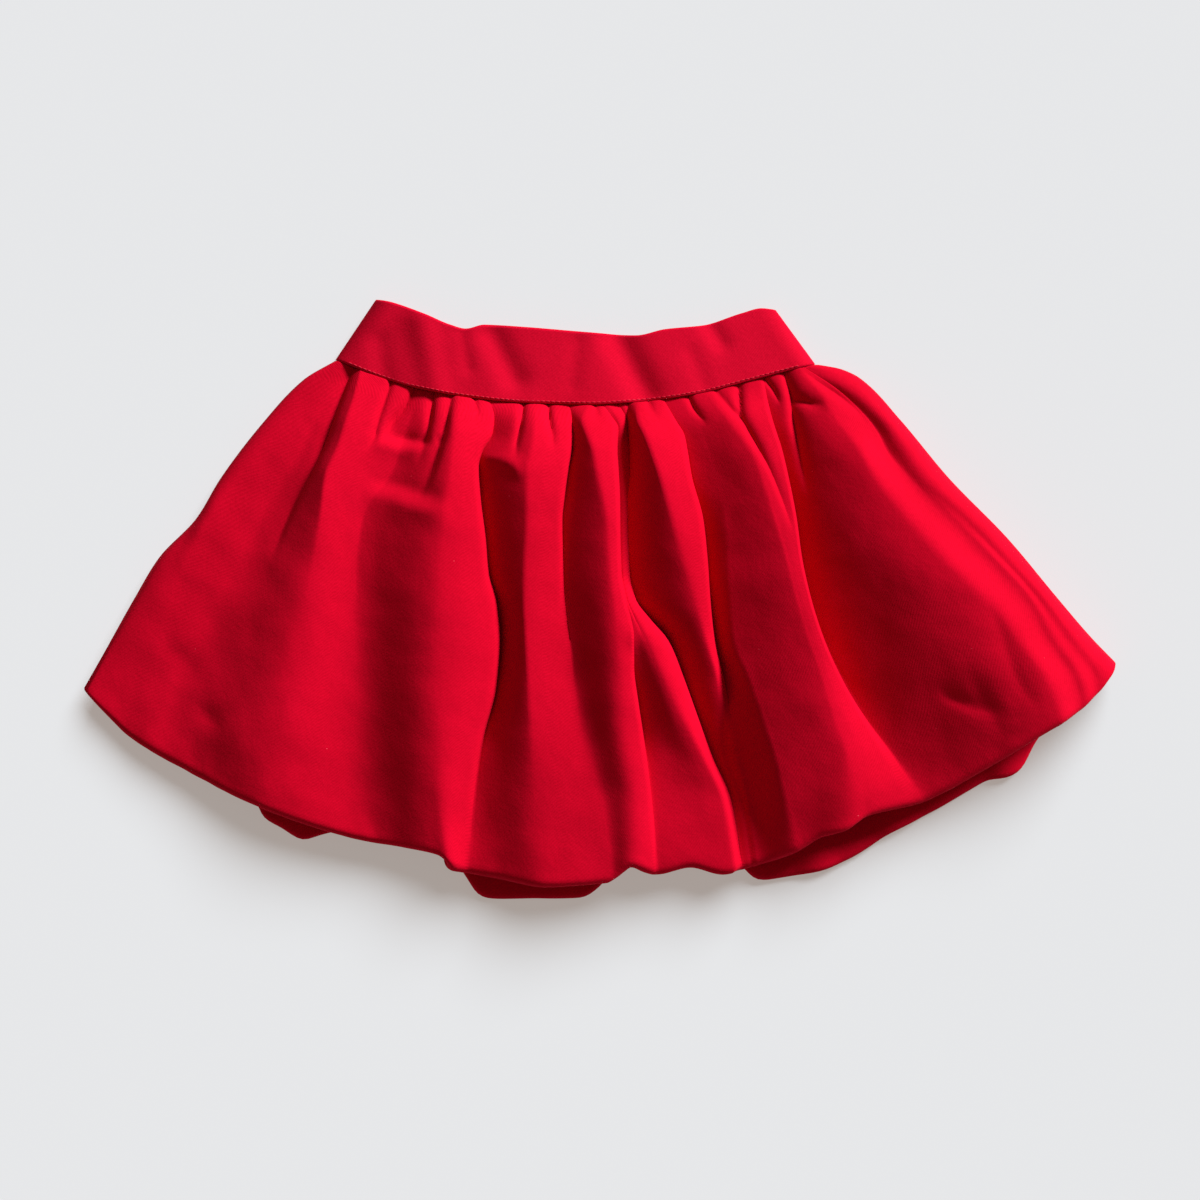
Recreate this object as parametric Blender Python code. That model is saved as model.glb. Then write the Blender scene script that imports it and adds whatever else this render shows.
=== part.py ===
"""Toddler's balloon skirt, laid flat on its back.

Four cut pieces, each one closed wall of cloth: a plain front waistband, a plain back
waistband, and a front and a back skirt panel that are gathered into the band.  Each
panel balloons, and its lower edge rolls under and runs a little way back up inside.
+X is across the skirt, +Y towards the waist and +Z up from the surface it lies on.
"""
from collections import namedtuple

import bpy
import numpy as np

MM = 0.001                  # every size below is in millimetres

# ---------------------------------------------------------------- driving sizes
CLOTH = 1.5                 # wall of a skirt panel: brushed cotton twill
BAND_CLOTH = 2.2            # wall of the waistband: the twill folded double
SEAM_GAP = 0.3              # clear gap between two pieces at a seam
BAND_RISE = 9.8             # middle of the front band above the surface
SIDE_TOP = 5.5              # height of the side seams at the waist and in the band
SIDE_FOOT = 12.0            # height of the side seams at the hem
BAND_ROUND = 9.0            # how far in from the side the band starts to turn down
FRONT_ROLL = 3.4            # radius of the front panel's rolled hem
BACK_ROLL = 2.4             # radius of the back panel's rolled hem
CORNER_ROLL = 1.3           # radius of both rolls where they meet at a side seam
ROLL_TAPER = 34.0           # length of hem over which a roll tightens to the corner
ROLL_EASE = 6.0             # the cloth draws back before the roll, over this many radii
ROLL_TILT = 0.3             # share of the cloth's slope at the hem that the roll keeps
RETURN = 42.0               # how far the rolled hem runs back up inside
LEAST_RETURN = 0.25         # share of that run that is left at a side seam
REST_SLACK = 0.3            # the back lies flat where it would lift less than this
BACK_ROUND_TOP = 6.0        # how far in from the side seam the back lifts at the waist
BACK_ROUND = 17.0           # and at the hem
PLEAT_RISE = 0.35           # share of the way down over which the back's pleats stand up
PLEAT_FALL = 0.6            # share of the way down where they start to fall again
PLEAT_HEM = 0.5             # share of their height that is left at the hem

# grid of each piece: columns across, rows from the waist to the hem
LANE_STEP = 8.5             # widest column of the front panel
LANE_CHECKS = (0.6, 1.0)    # shares of the way down where that width is measured
BACK_STEP = 11.0            # widest column of the back panel at the hem
FRONT_ROWS = 20
BACK_ROWS = 10
ROW_CROWD = 1.25            # above 1 the rows stand closer together at the gathers
ROLL_ROWS = 4
RETURN_ROWS = 3
BAND_COLUMNS = 44
BAND_ROWS = 5
SIDE_CROWD = 0.45           # how much closer the band's columns stand at its sides

# looks of the plain cloth
FRONT_RED = (0.62, 0.004, 0.02)
BACK_RED = (0.55, 0.004, 0.018)
BAND_RED = (0.6, 0.004, 0.02)
SHARPEST_SMOOTH = 60        # degrees between two faces that still shade as one

# ---------------------------------------------------------------- outline
Edge = namedtuple("Edge", "x y")

BAND_TOP = (
    Edge(-110, 147.5), Edge(-103, 146), Edge(-86, 140), Edge(-74, 135), Edge(-66, 133),
    Edge(-57, 135), Edge(-39, 134), Edge(0, 131), Edge(18, 130), Edge(32, 133),
    Edge(51, 135), Edge(70, 141), Edge(80, 143.5), Edge(85.5, 143),
)
SEAM = (
    Edge(-130, 117.5), Edge(-111, 110), Edge(-92, 104), Edge(-68, 99.5), Edge(-39, 96.5),
    Edge(-5, 95.5), Edge(25, 97.5), Edge(49, 101), Edge(71, 106.5), Edge(90, 111.5),
    Edge(105.5, 115.5),
)
LEFT_SIDE = (
    Edge(-130, 117.5), Edge(-146, 108), Edge(-165, 88), Edge(-187, 59), Edge(-199, 39),
    Edge(-217, 20), Edge(-229, 0), Edge(-245, -29), Edge(-254, -45),
)
RIGHT_SIDE = (
    Edge(105.5, 115.5), Edge(119, 113), Edge(129, 108), Edge(148, 88), Edge(172, 59),
    Edge(201, 29), Edge(225, 0), Edge(242, -20), Edge(254, -32.5),
)
FRONT_HEM = (
    Edge(-254, -45), Edge(-243, -57), Edge(-232, -68), Edge(-204, -84), Edge(-174, -99),
    Edge(-142, -111), Edge(-115, -118.5), Edge(-96, -122), Edge(-80, -125),
    Edge(-69, -133), Edge(-49, -137), Edge(-28, -140.5), Edge(3, -139), Edge(15.5, -131),
    Edge(28, -135), Edge(44, -131.5), Edge(60, -135), Edge(72, -132), Edge(96, -124),
    Edge(108, -116.5), Edge(120, -113.5), Edge(131, -106.5), Edge(159, -99),
    Edge(187, -84), Edge(216, -66), Edge(237, -53), Edge(251, -37.5), Edge(254, -32.5),
)
BACK_HEM = (
    Edge(-254, -45), Edge(-243, -54), Edge(-220, -69), Edge(-196, -83), Edge(-178, -93),
    Edge(-169, -101), Edge(-168, -108), Edge(-155, -114.5), Edge(-146, -120.5),
    Edge(-142, -116.5), Edge(-126, -114.5), Edge(-103, -115), Edge(-79, -120.5),
    Edge(-68, -133.5), Edge(-61, -147.5), Edge(-52, -148.5), Edge(-29, -148),
    Edge(-7, -148), Edge(3, -139.5), Edge(14, -127), Edge(39, -122.5), Edge(64, -123.5),
    Edge(71, -131.5), Edge(75, -139), Edge(80, -139.5), Edge(110, -134.5),
    Edge(126, -127.5), Edge(144, -115.5), Edge(167, -104), Edge(194, -88),
    Edge(201, -89), Edge(208, -85), Edge(217, -68), Edge(235, -51), Edge(254, -32.5),
)

# ---------------------------------------------------------------- folds of the front
# A row is one line down the front panel, from the waist seam to the hem.  Its kind is
# crest or valley, and its path gives (x, y, height of the cloth) on the way.  Between it
# and the next line on the right the cloth is round at the crest and creased at the
# valley: a curl of 1 is a straight slope, and the higher it is, the rounder the crest.
Fold = namedtuple("Fold", "name kind curl path")

FRONT_FOLDS = (
    Fold("left bulge", "crest", 1.6, (
        (-126.5, 116, 8), (-140, 96, 12), (-158, 74, 15), (-172, 54, 17), (-184, 36, 19),
        (-192, 15, 20), (-203, -5, 21), (-211, -30, 22), (-221, -55, 22), (-227, -70, 21))),
    Fold("left valley", "valley", 1.6, (
        (-122, 115, 8.4), (-130, 100, 7), (-136, 86, 8), (-138, 76, 9), (-142, 66, 10),
        (-147, 54, 11), (-155, 36, 12), (-165, 18, 13), (-174, -2, 14), (-180, -22, 15),
        (-182, -42, 16), (-190, -62, 17), (-193, -90, 19))),
    Fold("tall left ridge", "crest", 1.8, (
        (-118, 112, 10.4), (-120, 98, 17), (-122, 86, 22), (-122, 74, 25), (-125, 64, 26),
        (-128, 54, 26.5), (-133, 39, 27), (-139, 20, 27), (-142, 0, 27.5), (-146, -20, 28),
        (-151, -39, 28), (-154, -59, 28), (-156, -78, 28), (-154, -106, 26))),
    Fold("broad valley", "valley", 1.9, (
        (-88, 103, 7), (-87, 92, 12), (-86, 80, 15), (-87, 69, 17), (-94, 58, 18),
        (-108, 49, 18), (-117, 39, 18), (-120, 20, 18), (-122, 0, 19), (-122, -20, 19),
        (-123, -39, 20), (-123.5, -59, 20), (-123, -78, 20), (-120, -98, 20),
        (-110, -120, 21))),
    Fold("left middle ridge", "crest", 2.2, (
        (-68, 98.5, 10.4), (-70, 86, 21), (-70, 74, 26), (-70, 64, 29), (-71, 54, 31),
        (-74, 39, 33), (-75.5, 20, 34), (-77, 0, 35), (-77.5, -20, 35), (-79, -39, 35),
        (-78.5, -59, 34), (-77.5, -78, 33), (-77.5, -98, 31), (-75, -127, 28))),
    Fold("left middle valley", "valley", 1.8, (
        (-56, 97, 8.4), (-55, 86, 15), (-55, 78, 17), (-59, 69, 19), (-61, 54, 20),
        (-59, 39, 20), (-57, 20, 20.5), (-55, 0, 21), (-53.5, -20, 19.5), (-53, -39, 19.5),
        (-56, -59, 21), (-61, -78, 22), (-63, -98, 22), (-60, -134, 21))),
    Fold("middle ridge", "crest", 2.2, (
        (-31, 96, 10.4), (-32, 86, 22), (-32, 78, 26), (-33, 69, 29), (-35, 54, 31),
        (-33, 39, 33), (-35, 20, 34.5), (-36, 0, 35.5), (-35, -20, 35.5), (-33, -39, 35),
        (-33, -59, 34), (-32, -78, 33), (-30, -98, 31), (-27, -140, 28))),
    Fold("middle valley", "valley", 1.8, (
        (-16.5, 96, 8.4), (-16.5, 86, 13), (-16, 78, 15), (-16, 69, 17), (-18.5, 54, 19),
        (-19.5, 39, 21), (-20, 20, 23), (-19.5, 0, 24), (-17.5, -20, 25), (-14.5, -39, 26),
        (-12, -59, 26), (-8, -78, 26), (-4.5, -98, 26), (-2, -113, 25.5), (2, -139, 24))),
    Fold("right middle ridge", "crest", 2.0, (
        (-5, 96, 10.4), (-5, 86, 23), (-3, 78, 27), (-1, 69, 30), (1, 54, 32),
        (2.5, 39, 33), (4.5, 20, 34), (6.5, 0, 35), (8.5, -20, 35), (10.5, -39, 34.5),
        (12, -59, 34), (13, -78, 33), (15, -98, 31.5), (14, -131, 28))),
    Fold("split valley", "valley", 1.6, (
        (0, 96, 9.2), (-1, 86, 21), (1, 78, 25), (3, 69, 28), (4.5, 54, 30), (5.5, 39, 31),
        (7, 20, 32), (9.5, 0, 33), (12, -20, 31.5), (15, -39, 25), (18.5, -59, 23),
        (20.5, -78, 22), (23.5, -98, 22), (26, -134, 23))),
    Fold("split ridge", "crest", 2.2, (
        (3, 96.5, 9), (2, 86, 18), (4, 78, 21), (6, 69, 24), (7.5, 54, 26), (9, 39, 27),
        (10.5, 20, 29), (14, 0, 31), (23, -20, 33.5), (33, -39, 33.5), (41.5, -59, 32.5),
        (48, -78, 31), (54, -98, 29.5), (52, -133, 27.5))),
    Fold("slanting valley", "valley", 1.7, (
        (8, 97, 8.4), (12, 86, 11), (13.5, 78, 13), (14, 69, 14), (13.5, 54, 15),
        (13.5, 39, 16), (16, 20, 17), (22, 0, 17), (33, -20, 18), (40.5, -39, 19),
        (47, -59, 22), (54, -78, 25), (61, -98, 27), (61, -134, 26.5))),
    Fold("slanting ridge", "crest", 2.2, (
        (18, 97.5, 10.4), (23, 86, 22), (25, 78, 25.5), (28, 69, 28), (32, 54, 30),
        (36, 39, 31.5), (40.5, 20, 33), (46.5, 0, 34), (52, -20, 32), (57, -39, 29),
        (61, -59, 28), (65, -78, 28), (69, -98, 28.5), (69, -133, 27))),
    Fold("right middle valley", "valley", 1.5, (
        (30, 99, 8.4), (36, 86, 14), (40, 78, 16), (42, 69, 17), (44.5, 54, 18),
        (47.5, 39, 19), (50, 20, 20), (53, 0, 20), (56.5, -20, 18.5), (61.5, -39, 17),
        (66, -59, 16.5), (70, -78, 17), (75, -98, 19), (78, -131, 21))),
    Fold("right ridge", "crest", 2.0, (
        (52, 102, 10.4), (62, 86, 24), (67, 78, 27), (75, 69, 29), (82, 54, 31.5),
        (86, 39, 33), (92, 20, 34.5), (98, 0, 35.5), (104, -20, 35.5), (111, -39, 35),
        (116, -59, 34), (121.5, -78, 33), (122, -98, 31), (117, -114, 28))),
    Fold("right valley", "valley", 1.5, (
        (92, 112, 8.4), (95.5, 96, 8), (97, 86, 9), (98, 78, 10), (98.5, 69, 11),
        (97, 54, 12), (97.5, 39, 13), (100.5, 20, 13.5), (105, 0, 14), (111.5, -20, 15),
        (120, -39, 16), (132, -59, 18), (145, -78, 20), (159, -99, 21))),
    Fold("tall right ridge", "crest", 1.8, (
        (98, 114, 9.6), (110, 100, 17), (119.5, 86, 23), (124, 78, 26), (129, 69, 28),
        (140, 54, 30), (150, 39, 31.5), (167, 20, 33), (184, 0, 34.5), (199, -20, 35),
        (212, -39, 34), (217, -64, 31))),
    Fold("right side valley", "valley", 1.5, (
        (100, 115, 9.2), (118, 102, 15), (133, 86, 20), (137, 78, 21.5), (143, 69, 23),
        (155, 54, 25), (168, 39, 27), (184, 20, 29), (200, 0, 30), (213, -20, 30),
        (223, -39, 28.5), (228, -58, 26.5))),
    Fold("right side bulge", "crest", 1.6, (
        (102, 115, 8.8), (126, 101, 14.5), (140, 86, 19), (146, 78, 20.5), (152, 69, 22),
        (163, 54, 24), (177, 39, 25.5), (192, 22, 26.5), (207, 3, 27), (221, -17, 26.5),
        (233, -37, 24.5), (240, -50, 22))),
)

# Short creases over those folds.  A path gives (x, y, depth), negative for a ridge,
# and the crease fades out sideways over the widths to its left and right.
Crease = namedtuple("Crease", "name left right path")

FRONT_CREASES = (
    Crease("hooked crease", 5, 6, (
        (-75, 99, 2), (-81, 86, 7), (-79, 74, 7), (-81, 59, 4), (-84, 46, 0))),
    Crease("left gather", 3, 3, ((-106, 109, 2), (-105, 96, 4), (-101, 80, 0))),
    Crease("second gather", 3, 3, ((-91, 104, 2), (-89, 92, 4), (-86, 78, 0))),
    Crease("fourth gather", 3, 3, ((-64, 99, 2), (-65, 90, 2), (-67, 80, 0))),
    Crease("sixth gather", 3, 4, ((-38, 96, 2), (-37, 84, 5), (-37, 70, 3), (-36, 56, 0))),
    Crease("seventh gather", 3, 3, ((-24, 96, 2), (-22, 86, 3), (-20, 72, 0))),
    Crease("eighth gather", 3, 3, ((43, 100, 2), (46, 90, 2), (50, 80, 0))),
    Crease("ninth gather", 4, 5, ((66, 105, 2), (71, 92, 7), (74, 80, 5), (84, 58, 0))),
    Crease("tenth gather", 3, 4, ((80, 109, 2), (83, 92, 5), (88, 78, 5), (96, 60, 0))),
    Crease("right gather", 3, 3, ((110, 111, 0), (114, 106, 2), (121, 92, 0))),
)

# Soft hollows pressed across the waistband, from one end to the other.
Hollow = namedtuple("Hollow", "x y to_x to_y depth width")

BAND_HOLLOWS = (
    Hollow(-97, 138, -86, 106, 1.2, 5),
    Hollow(-68, 132, -62, 118, 0.9, 4),
    Hollow(-50, 129, -39, 110, 1.1, 5),
    Hollow(-12, 124, -5, 103, 0.7, 6),
    Hollow(14, 128, 34, 101, 1.6, 6),
    Hollow(54, 132, 64, 122, 0.6, 5),
)

# Folds of the back panel stand up from the surface into the skirt, from waist to hem.
Pleat = namedtuple("Pleat", "waist_x hem_x height width")

BACK_PLEATS = (
    Pleat(-112, -205, 4, 12),
    Pleat(-92, -146, 5, 12),
    Pleat(-71, -104, 4, 11),
    Pleat(-49, -66, 5, 11),
    Pleat(-27, -22, 4, 11),
    Pleat(-4, 12, 5, 11),
    Pleat(18, 44, 4, 10),
    Pleat(38, 73, 5, 11),
    Pleat(58, 108, 4, 12),
    Pleat(76, 148, 5, 12),
    Pleat(92, 202, 4, 12),
)


# ---------------------------------------------------------------- curves
def smooth(at, stations, values):
    """Values at any place between stations, with no overshoot (monotone cubic)."""
    at = np.asarray(at, float)
    stations = np.asarray(stations, float)
    values = np.asarray(values, float)
    step = np.diff(stations)
    rise = np.diff(values) / step
    slope = np.zeros(len(values))
    slope[0], slope[-1] = rise[0], rise[-1]
    product = rise[:-1] * rise[1:]
    total = np.where(product > 0, rise[:-1] + rise[1:], 1.0)
    slope[1:-1] = np.where(product > 0, 2 * product / total, 0.0)
    cell = np.clip(np.searchsorted(stations, at, side="right") - 1, 0, len(step) - 1)
    t = np.clip((at - stations[cell]) / step[cell], 0, 1)
    lift = t * t * (3 - 2 * t)
    enter = t * (1 - t) ** 2 * slope[cell]
    leave = t * t * (t - 1) * slope[cell + 1]
    return values[cell] * (1 - lift) + values[cell + 1] * lift + step[cell] * (enter + leave)


def edge_y(edge, x):
    """Height up the skirt of an outline at x."""
    return smooth(x, [point.x for point in edge], [point.y for point in edge])


def unit(vectors):
    """The same vectors, one long."""
    return vectors / np.linalg.norm(vectors, axis=-1, keepdims=True)


def ease(t):
    """0 to 1 with a soft start and end."""
    t = np.clip(t, 0, 1)
    return t * t * (3 - 2 * t)


# ---------------------------------------------------------------- surfaces
def lane_profile(fold, after, t):
    """Share of the climb from one fold line to the next, at t across the lane."""
    if fold is None:
        return np.sqrt(1 - (1 - t) ** 2)
    if after is None:
        return 1 - np.sqrt(1 - t ** 2)
    if fold.kind == "valley":
        return 1 - (1 - t) ** fold.curl
    return t ** fold.curl


def lane_columns(folds, widest):
    """Columns across the panel: each lane between two fold lines is cut evenly."""
    stations = [side_line(LEFT_SIDE, LANE_CHECKS)[:, 0]]
    for fold in folds:
        path = np.array(fold.path, float)
        stations.append(smooth(LANE_CHECKS, share_down(path), path[:, 0]))
    stations.append(side_line(RIGHT_SIDE, LANE_CHECKS)[:, 0])
    widths = np.abs(np.diff(stations, axis=0)).max(axis=1)
    columns = []
    for lane, width in enumerate(widths):
        count = max(2, int(np.ceil(width / widest)))
        columns.extend(lane + np.arange(count) / count)
    columns.append(len(widths))
    return np.array(columns)


def crease_depth(x, y, creases):
    """How far the short creases press the cloth down at each point."""
    depth = np.zeros_like(x)
    for crease in creases:
        down = sorted(crease.path, key=lambda point: point[1])
        ys = [point[1] for point in down]
        middle = smooth(y, ys, [point[0] for point in down])
        press = smooth(y, ys, [point[2] for point in down])
        press = press * (y >= ys[0])
        side = np.where(x < middle, crease.left, crease.right)
        depth += press * np.exp(-((x - middle) / side) ** 2)
    return depth


def share_down(path):
    """How far down from the waist to the hem each point of a path lies, 0 to 1."""
    path = np.array(path, float)
    return (path[0, 1] - path[:, 1]) / (path[0, 1] - path[-1, 1])


def side_line(edge, shares):
    """A side seam of the skirt, as both panels share it."""
    shares = np.asarray(shares, float)
    x = smooth(shares, share_down(edge), [point.x for point in edge])
    y = edge[0].y + shares * (edge[-1].y - edge[0].y)
    return np.stack([x, y, SIDE_TOP + shares * (SIDE_FOOT - SIDE_TOP)], 1)


def front_surface(columns, shares):
    """Middle of the front panel's wall: one row per share of the way down."""
    left, right = side_line(LEFT_SIDE, shares), side_line(RIGHT_SIDE, shares)
    lines = [(left[:, 0], left[:, 2])]
    for fold in FRONT_FOLDS:
        path = np.array(fold.path, float)
        down = share_down(path)
        lines.append((smooth(shares, down, path[:, 0]), smooth(shares, down, path[:, 2])))
    lines.append((right[:, 0], right[:, 2]))
    lanes = (None,) + FRONT_FOLDS + (None,)
    number = np.arange(len(lines))
    grid = np.zeros((len(shares), len(columns), 3))
    lane = np.minimum(columns.astype(int), len(lines) - 2)
    across = columns - lane
    climb = np.zeros(len(columns))
    for k in range(len(lines) - 1):
        here = lane == k
        climb[here] = lane_profile(lanes[k], lanes[k + 1], across[here])
    for row in range(len(shares)):
        grid[row, :, 0] = smooth(columns, number, [line[0][row] for line in lines])
        height = np.array([line[1][row] for line in lines])
        grid[row, :, 2] = height[lane] + (height[lane + 1] - height[lane]) * climb
    seam_y = edge_y(SEAM, grid[0, :, 0])
    hem_y = edge_y(FRONT_HEM, grid[-1, :, 0])
    grid[:, :, 1] = seam_y + np.outer(shares, hem_y - seam_y)
    grid[:, :, 2] -= crease_depth(grid[:, :, 0], grid[:, :, 1], FRONT_CREASES)
    return grid


def hem_points(edge, widest):
    """Every corner of a hem outline, with more points where they are far apart."""
    points = [np.array(edge[0], float)]
    for here, there in zip(edge[:-1], edge[1:]):
        run = np.array(there, float) - np.array(here, float)
        count = max(1, int(round(np.hypot(*run) / widest)))
        points.extend(np.array(here, float) + run * k / count for k in range(1, count + 1))
    return np.array(points)


def back_surface(shares):
    """Middle of the back panel's wall, flat on the surface but for its pleats."""
    hem = hem_points(BACK_HEM, BACK_STEP)
    across = (hem[:, 0] - hem[0, 0]) / (hem[-1, 0] - hem[0, 0])
    top_x = SEAM[0].x + (SEAM[-1].x - SEAM[0].x) * across
    top = np.stack([top_x, edge_y(SEAM, top_x)], 1)
    grid = np.zeros((len(shares), len(hem), 3))
    down = shares[:, None, None]
    grid[:, :, :2] = (1 - down) * top + down * hem
    sides = ((0, side_line(LEFT_SIDE, shares)), (-1, side_line(RIGHT_SIDE, shares)))
    for column, side in sides:
        pull = np.abs(across - across[-1 - column]) ** 3
        bow = side[:, :2] - grid[:, column, :2]
        grid[:, :, :2] += bow[:, None, :] * pull[None, :, None]
    flat = CLOTH / 2
    rise = np.zeros(grid.shape[:2])
    for pleat in BACK_PLEATS:
        middle = pleat.waist_x + (pleat.hem_x - pleat.waist_x) * shares[:, None]
        away = np.clip(np.abs(grid[:, :, 0] - middle) / pleat.width, 0, 1)
        rise = np.maximum(rise, pleat.height * (1 - away ** 2) ** 2)
    fade_in = ease(shares / PLEAT_RISE)[:, None]
    fall = ease((shares - PLEAT_FALL) / (1 - PLEAT_FALL))[:, None]
    fade_out = 1 - (1 - PLEAT_HEM) * fall
    grid[:, :, 2] = flat + rise * fade_in * fade_out
    for _, side in sides:
        away = np.linalg.norm(grid[:, :, :2] - side[:, None, :2], axis=2)
        margin = BACK_ROUND_TOP + (BACK_ROUND - BACK_ROUND_TOP) * shares[:, None]
        turn = 1 - np.sqrt(1 - np.clip(1 - away / margin, 0, 1) ** 2)
        edge = side[:, None, 2]
        grid[:, :, 2] += (edge - grid[:, :, 2]) * turn
    return grid


def band_surface(rise, is_front):
    """Middle of a waistband wall, from its top edge down to the seam."""
    across = np.linspace(0, 1, BAND_COLUMNS)
    across = across - SIDE_CROWD * np.sin(2 * np.pi * across) / (2 * np.pi)
    top_x = BAND_TOP[0].x + (BAND_TOP[-1].x - BAND_TOP[0].x) * across
    foot_x = SEAM[0].x + (SEAM[-1].x - SEAM[0].x) * across
    top = np.stack([top_x, edge_y(BAND_TOP, top_x)], 1)
    foot = np.stack([foot_x, edge_y(SEAM, foot_x) + SEAM_GAP], 1)
    shares = np.linspace(0, 1, BAND_ROWS)
    grid = np.zeros((BAND_ROWS, BAND_COLUMNS, 3))
    down = shares[:, None, None]
    grid[:, :, :2] = (1 - down) * top + down * foot
    grid[:, :, 2] = rise
    if is_front:
        for hollow in BAND_HOLLOWS:
            grid[:, :, 2] -= hollow_depth(grid[:, :, :2], hollow)
    to_side = np.minimum(grid[:, :, 0] - grid[:, :1, 0], grid[:, -1:, 0] - grid[:, :, 0])
    turn = 1 - np.sqrt(1 - np.clip(1 - to_side / BAND_ROUND, 0, 1) ** 2)
    grid[:, :, 2] += (SIDE_TOP - grid[:, :, 2]) * turn
    return grid


def hollow_depth(points, hollow):
    """Depth of one soft hollow at each point of the band."""
    start = np.array([hollow.x, hollow.y], float)
    run = np.array([hollow.to_x, hollow.to_y], float) - start
    along = np.clip(((points - start) @ run) / (run @ run), 0, 1)
    nearest = start + along[..., None] * run
    away = np.linalg.norm(points - nearest, axis=-1)
    return hollow.depth * np.exp(-(away / hollow.width) ** 2)


# ---------------------------------------------------------------- walls
def wall_normals(grid, upward, flat_ends):
    """Outward direction at each point, level at the sides and square at the ends."""
    down = np.gradient(grid, axis=0)
    across = np.gradient(grid, axis=1)
    normal = unit(np.cross(across, down) * (-1 if upward else 1))
    for side, outward in ((0, -1), (-1, 1)):
        edge = np.gradient(grid[:, side, :2], axis=0)
        normal[:, side, 0] = outward * np.abs(edge[:, 1])
        normal[:, side, 1] = np.abs(edge[:, 0])
        normal[:, side, 2] = 0
    for end in flat_ends:
        along = unit(across[end, :, :2])
        level = np.sum(normal[end, :, :2] * along, axis=1, keepdims=True)
        normal[end, :, :2] = level * along
    return unit(normal)


def roll_hem(grid, normals, radius):
    """Add the rolled hem and the cloth that runs back up inside."""
    outward = unit((grid[-1] - grid[-2]) * [1, 1, ROLL_TILT])
    outward = smooth_across(outward)
    outward = unit(outward - normals[-1] * np.sum(outward * normals[-1], 1, keepdims=True))
    distance = np.linalg.norm(grid[1:] - grid[:-1], axis=2)[::-1].cumsum(axis=0)[::-1]
    distance = np.vstack([distance, np.zeros(grid.shape[1])])
    pull = np.clip(1 - distance / (ROLL_EASE * radius), 0, 1) ** 2
    rows = list(grid - outward * (radius * pull)[:, :, None])
    turns = list(normals)
    edge, square = rows[-1], normals[-1]
    for k in range(1, ROLL_ROWS + 1):
        angle = np.pi * k / ROLL_ROWS
        lean = square * np.cos(angle) + outward * np.sin(angle)
        rows.append(edge + (lean - square) * radius[:, None])
        turns.append(lean)
    calm = smooth_across(normals)
    for k in range(1, RETURN_ROWS + 1):
        back = RETURN * k / RETURN_ROWS * np.clip(radius / FRONT_ROLL, LEAST_RETURN, 1)
        spot, square = walk_back(grid, calm, distance, back + radius)
        rows.append(spot - square * (2 * radius)[:, None])
        turns.append(-square)
    return np.array(rows), np.array(turns)


def smooth_across(directions):
    """Directions averaged over their neighbours across the panel."""
    calm = directions.copy()
    for _ in range(3):
        middle = calm[..., 1:-1, :]
        middle[:] = calm[..., :-2, :] + 2 * middle + calm[..., 2:, :]
        calm = unit(calm)
    return calm


def walk_back(grid, normals, distance, back):
    """Point and normal of each column, this far up from the hem."""
    columns = range(grid.shape[1])
    spot = np.array([[np.interp(-back[c], -distance[:, c], grid[:, c, k]) for k in range(3)]
                     for c in columns])
    turn = np.array([[np.interp(-back[c], -distance[:, c], normals[:, c, k])
                      for k in range(3)] for c in columns])
    return spot, unit(turn)


def roll_radius(grid, widest):
    """Radius of the hem roll along the hem: tight at both side seams."""
    hem = grid[-1]
    to_left = np.linalg.norm(hem - hem[0], axis=1)
    to_right = np.linalg.norm(hem - hem[-1], axis=1)
    share = ease(np.minimum(to_left, to_right) / ROLL_TAPER)
    return CORNER_ROLL + (widest - CORNER_ROLL) * share


def wall_mesh(name, grid, normals, thickness):
    """Closed wall of cloth around a grid of points."""
    outer = grid + normals * thickness / 2
    inner = grid - normals * thickness / 2
    rows, columns = grid.shape[:2]
    points = np.concatenate([outer.reshape(-1, 3), inner.reshape(-1, 3)]) * MM
    number = np.arange(rows * columns).reshape(rows, columns)
    back = number + rows * columns
    faces = []
    for r in range(rows - 1):
        for c in range(columns - 1):
            quad = (number[r, c], number[r + 1, c], number[r + 1, c + 1], number[r, c + 1])
            faces.append(quad)
            faces.append(tuple(back.flat[k] for k in reversed(quad)))
    ring = list(number[0, :]) + list(number[1:, -1])
    ring += list(number[-1, -2::-1]) + list(number[-2:0:-1, 0])
    for here, there in zip(ring, ring[1:] + ring[:1]):
        faces.append((here, there, back.flat[there], back.flat[here]))
    mesh = bpy.data.meshes.new(name)
    mesh.from_pydata(points.tolist(), [], [[int(k) for k in face] for face in faces])
    mesh.validate()
    return mesh


# ---------------------------------------------------------------- pieces
def cloth_material(name, colour):
    """Matt red cloth."""
    material = bpy.data.materials.new(name)
    material.use_nodes = True
    shader = material.node_tree.nodes["Principled BSDF"]
    shader.inputs["Base Color"].default_value = (*colour, 1)
    shader.inputs["Roughness"].default_value = 0.9
    shader.inputs["Metallic"].default_value = 0.0
    return material


def add_piece(name, grid, normals, thickness, upward, colour):
    """Put one cut piece into the scene."""
    if not upward:
        grid, normals = grid[:, ::-1], normals[:, ::-1]
    mesh = wall_mesh(name, grid, normals, thickness)
    mesh.materials.append(cloth_material(name + "_twill", colour))
    mesh.shade_smooth()
    mesh.set_sharp_from_angle(angle=np.radians(SHARPEST_SMOOTH))
    piece = bpy.data.objects.new(name, mesh)
    bpy.context.scene.collection.objects.link(piece)
    return piece


def row_shares(rows):
    """Rows down a panel, closer together at the gathers."""
    return np.linspace(0, 1, rows) ** ROW_CROWD


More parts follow.
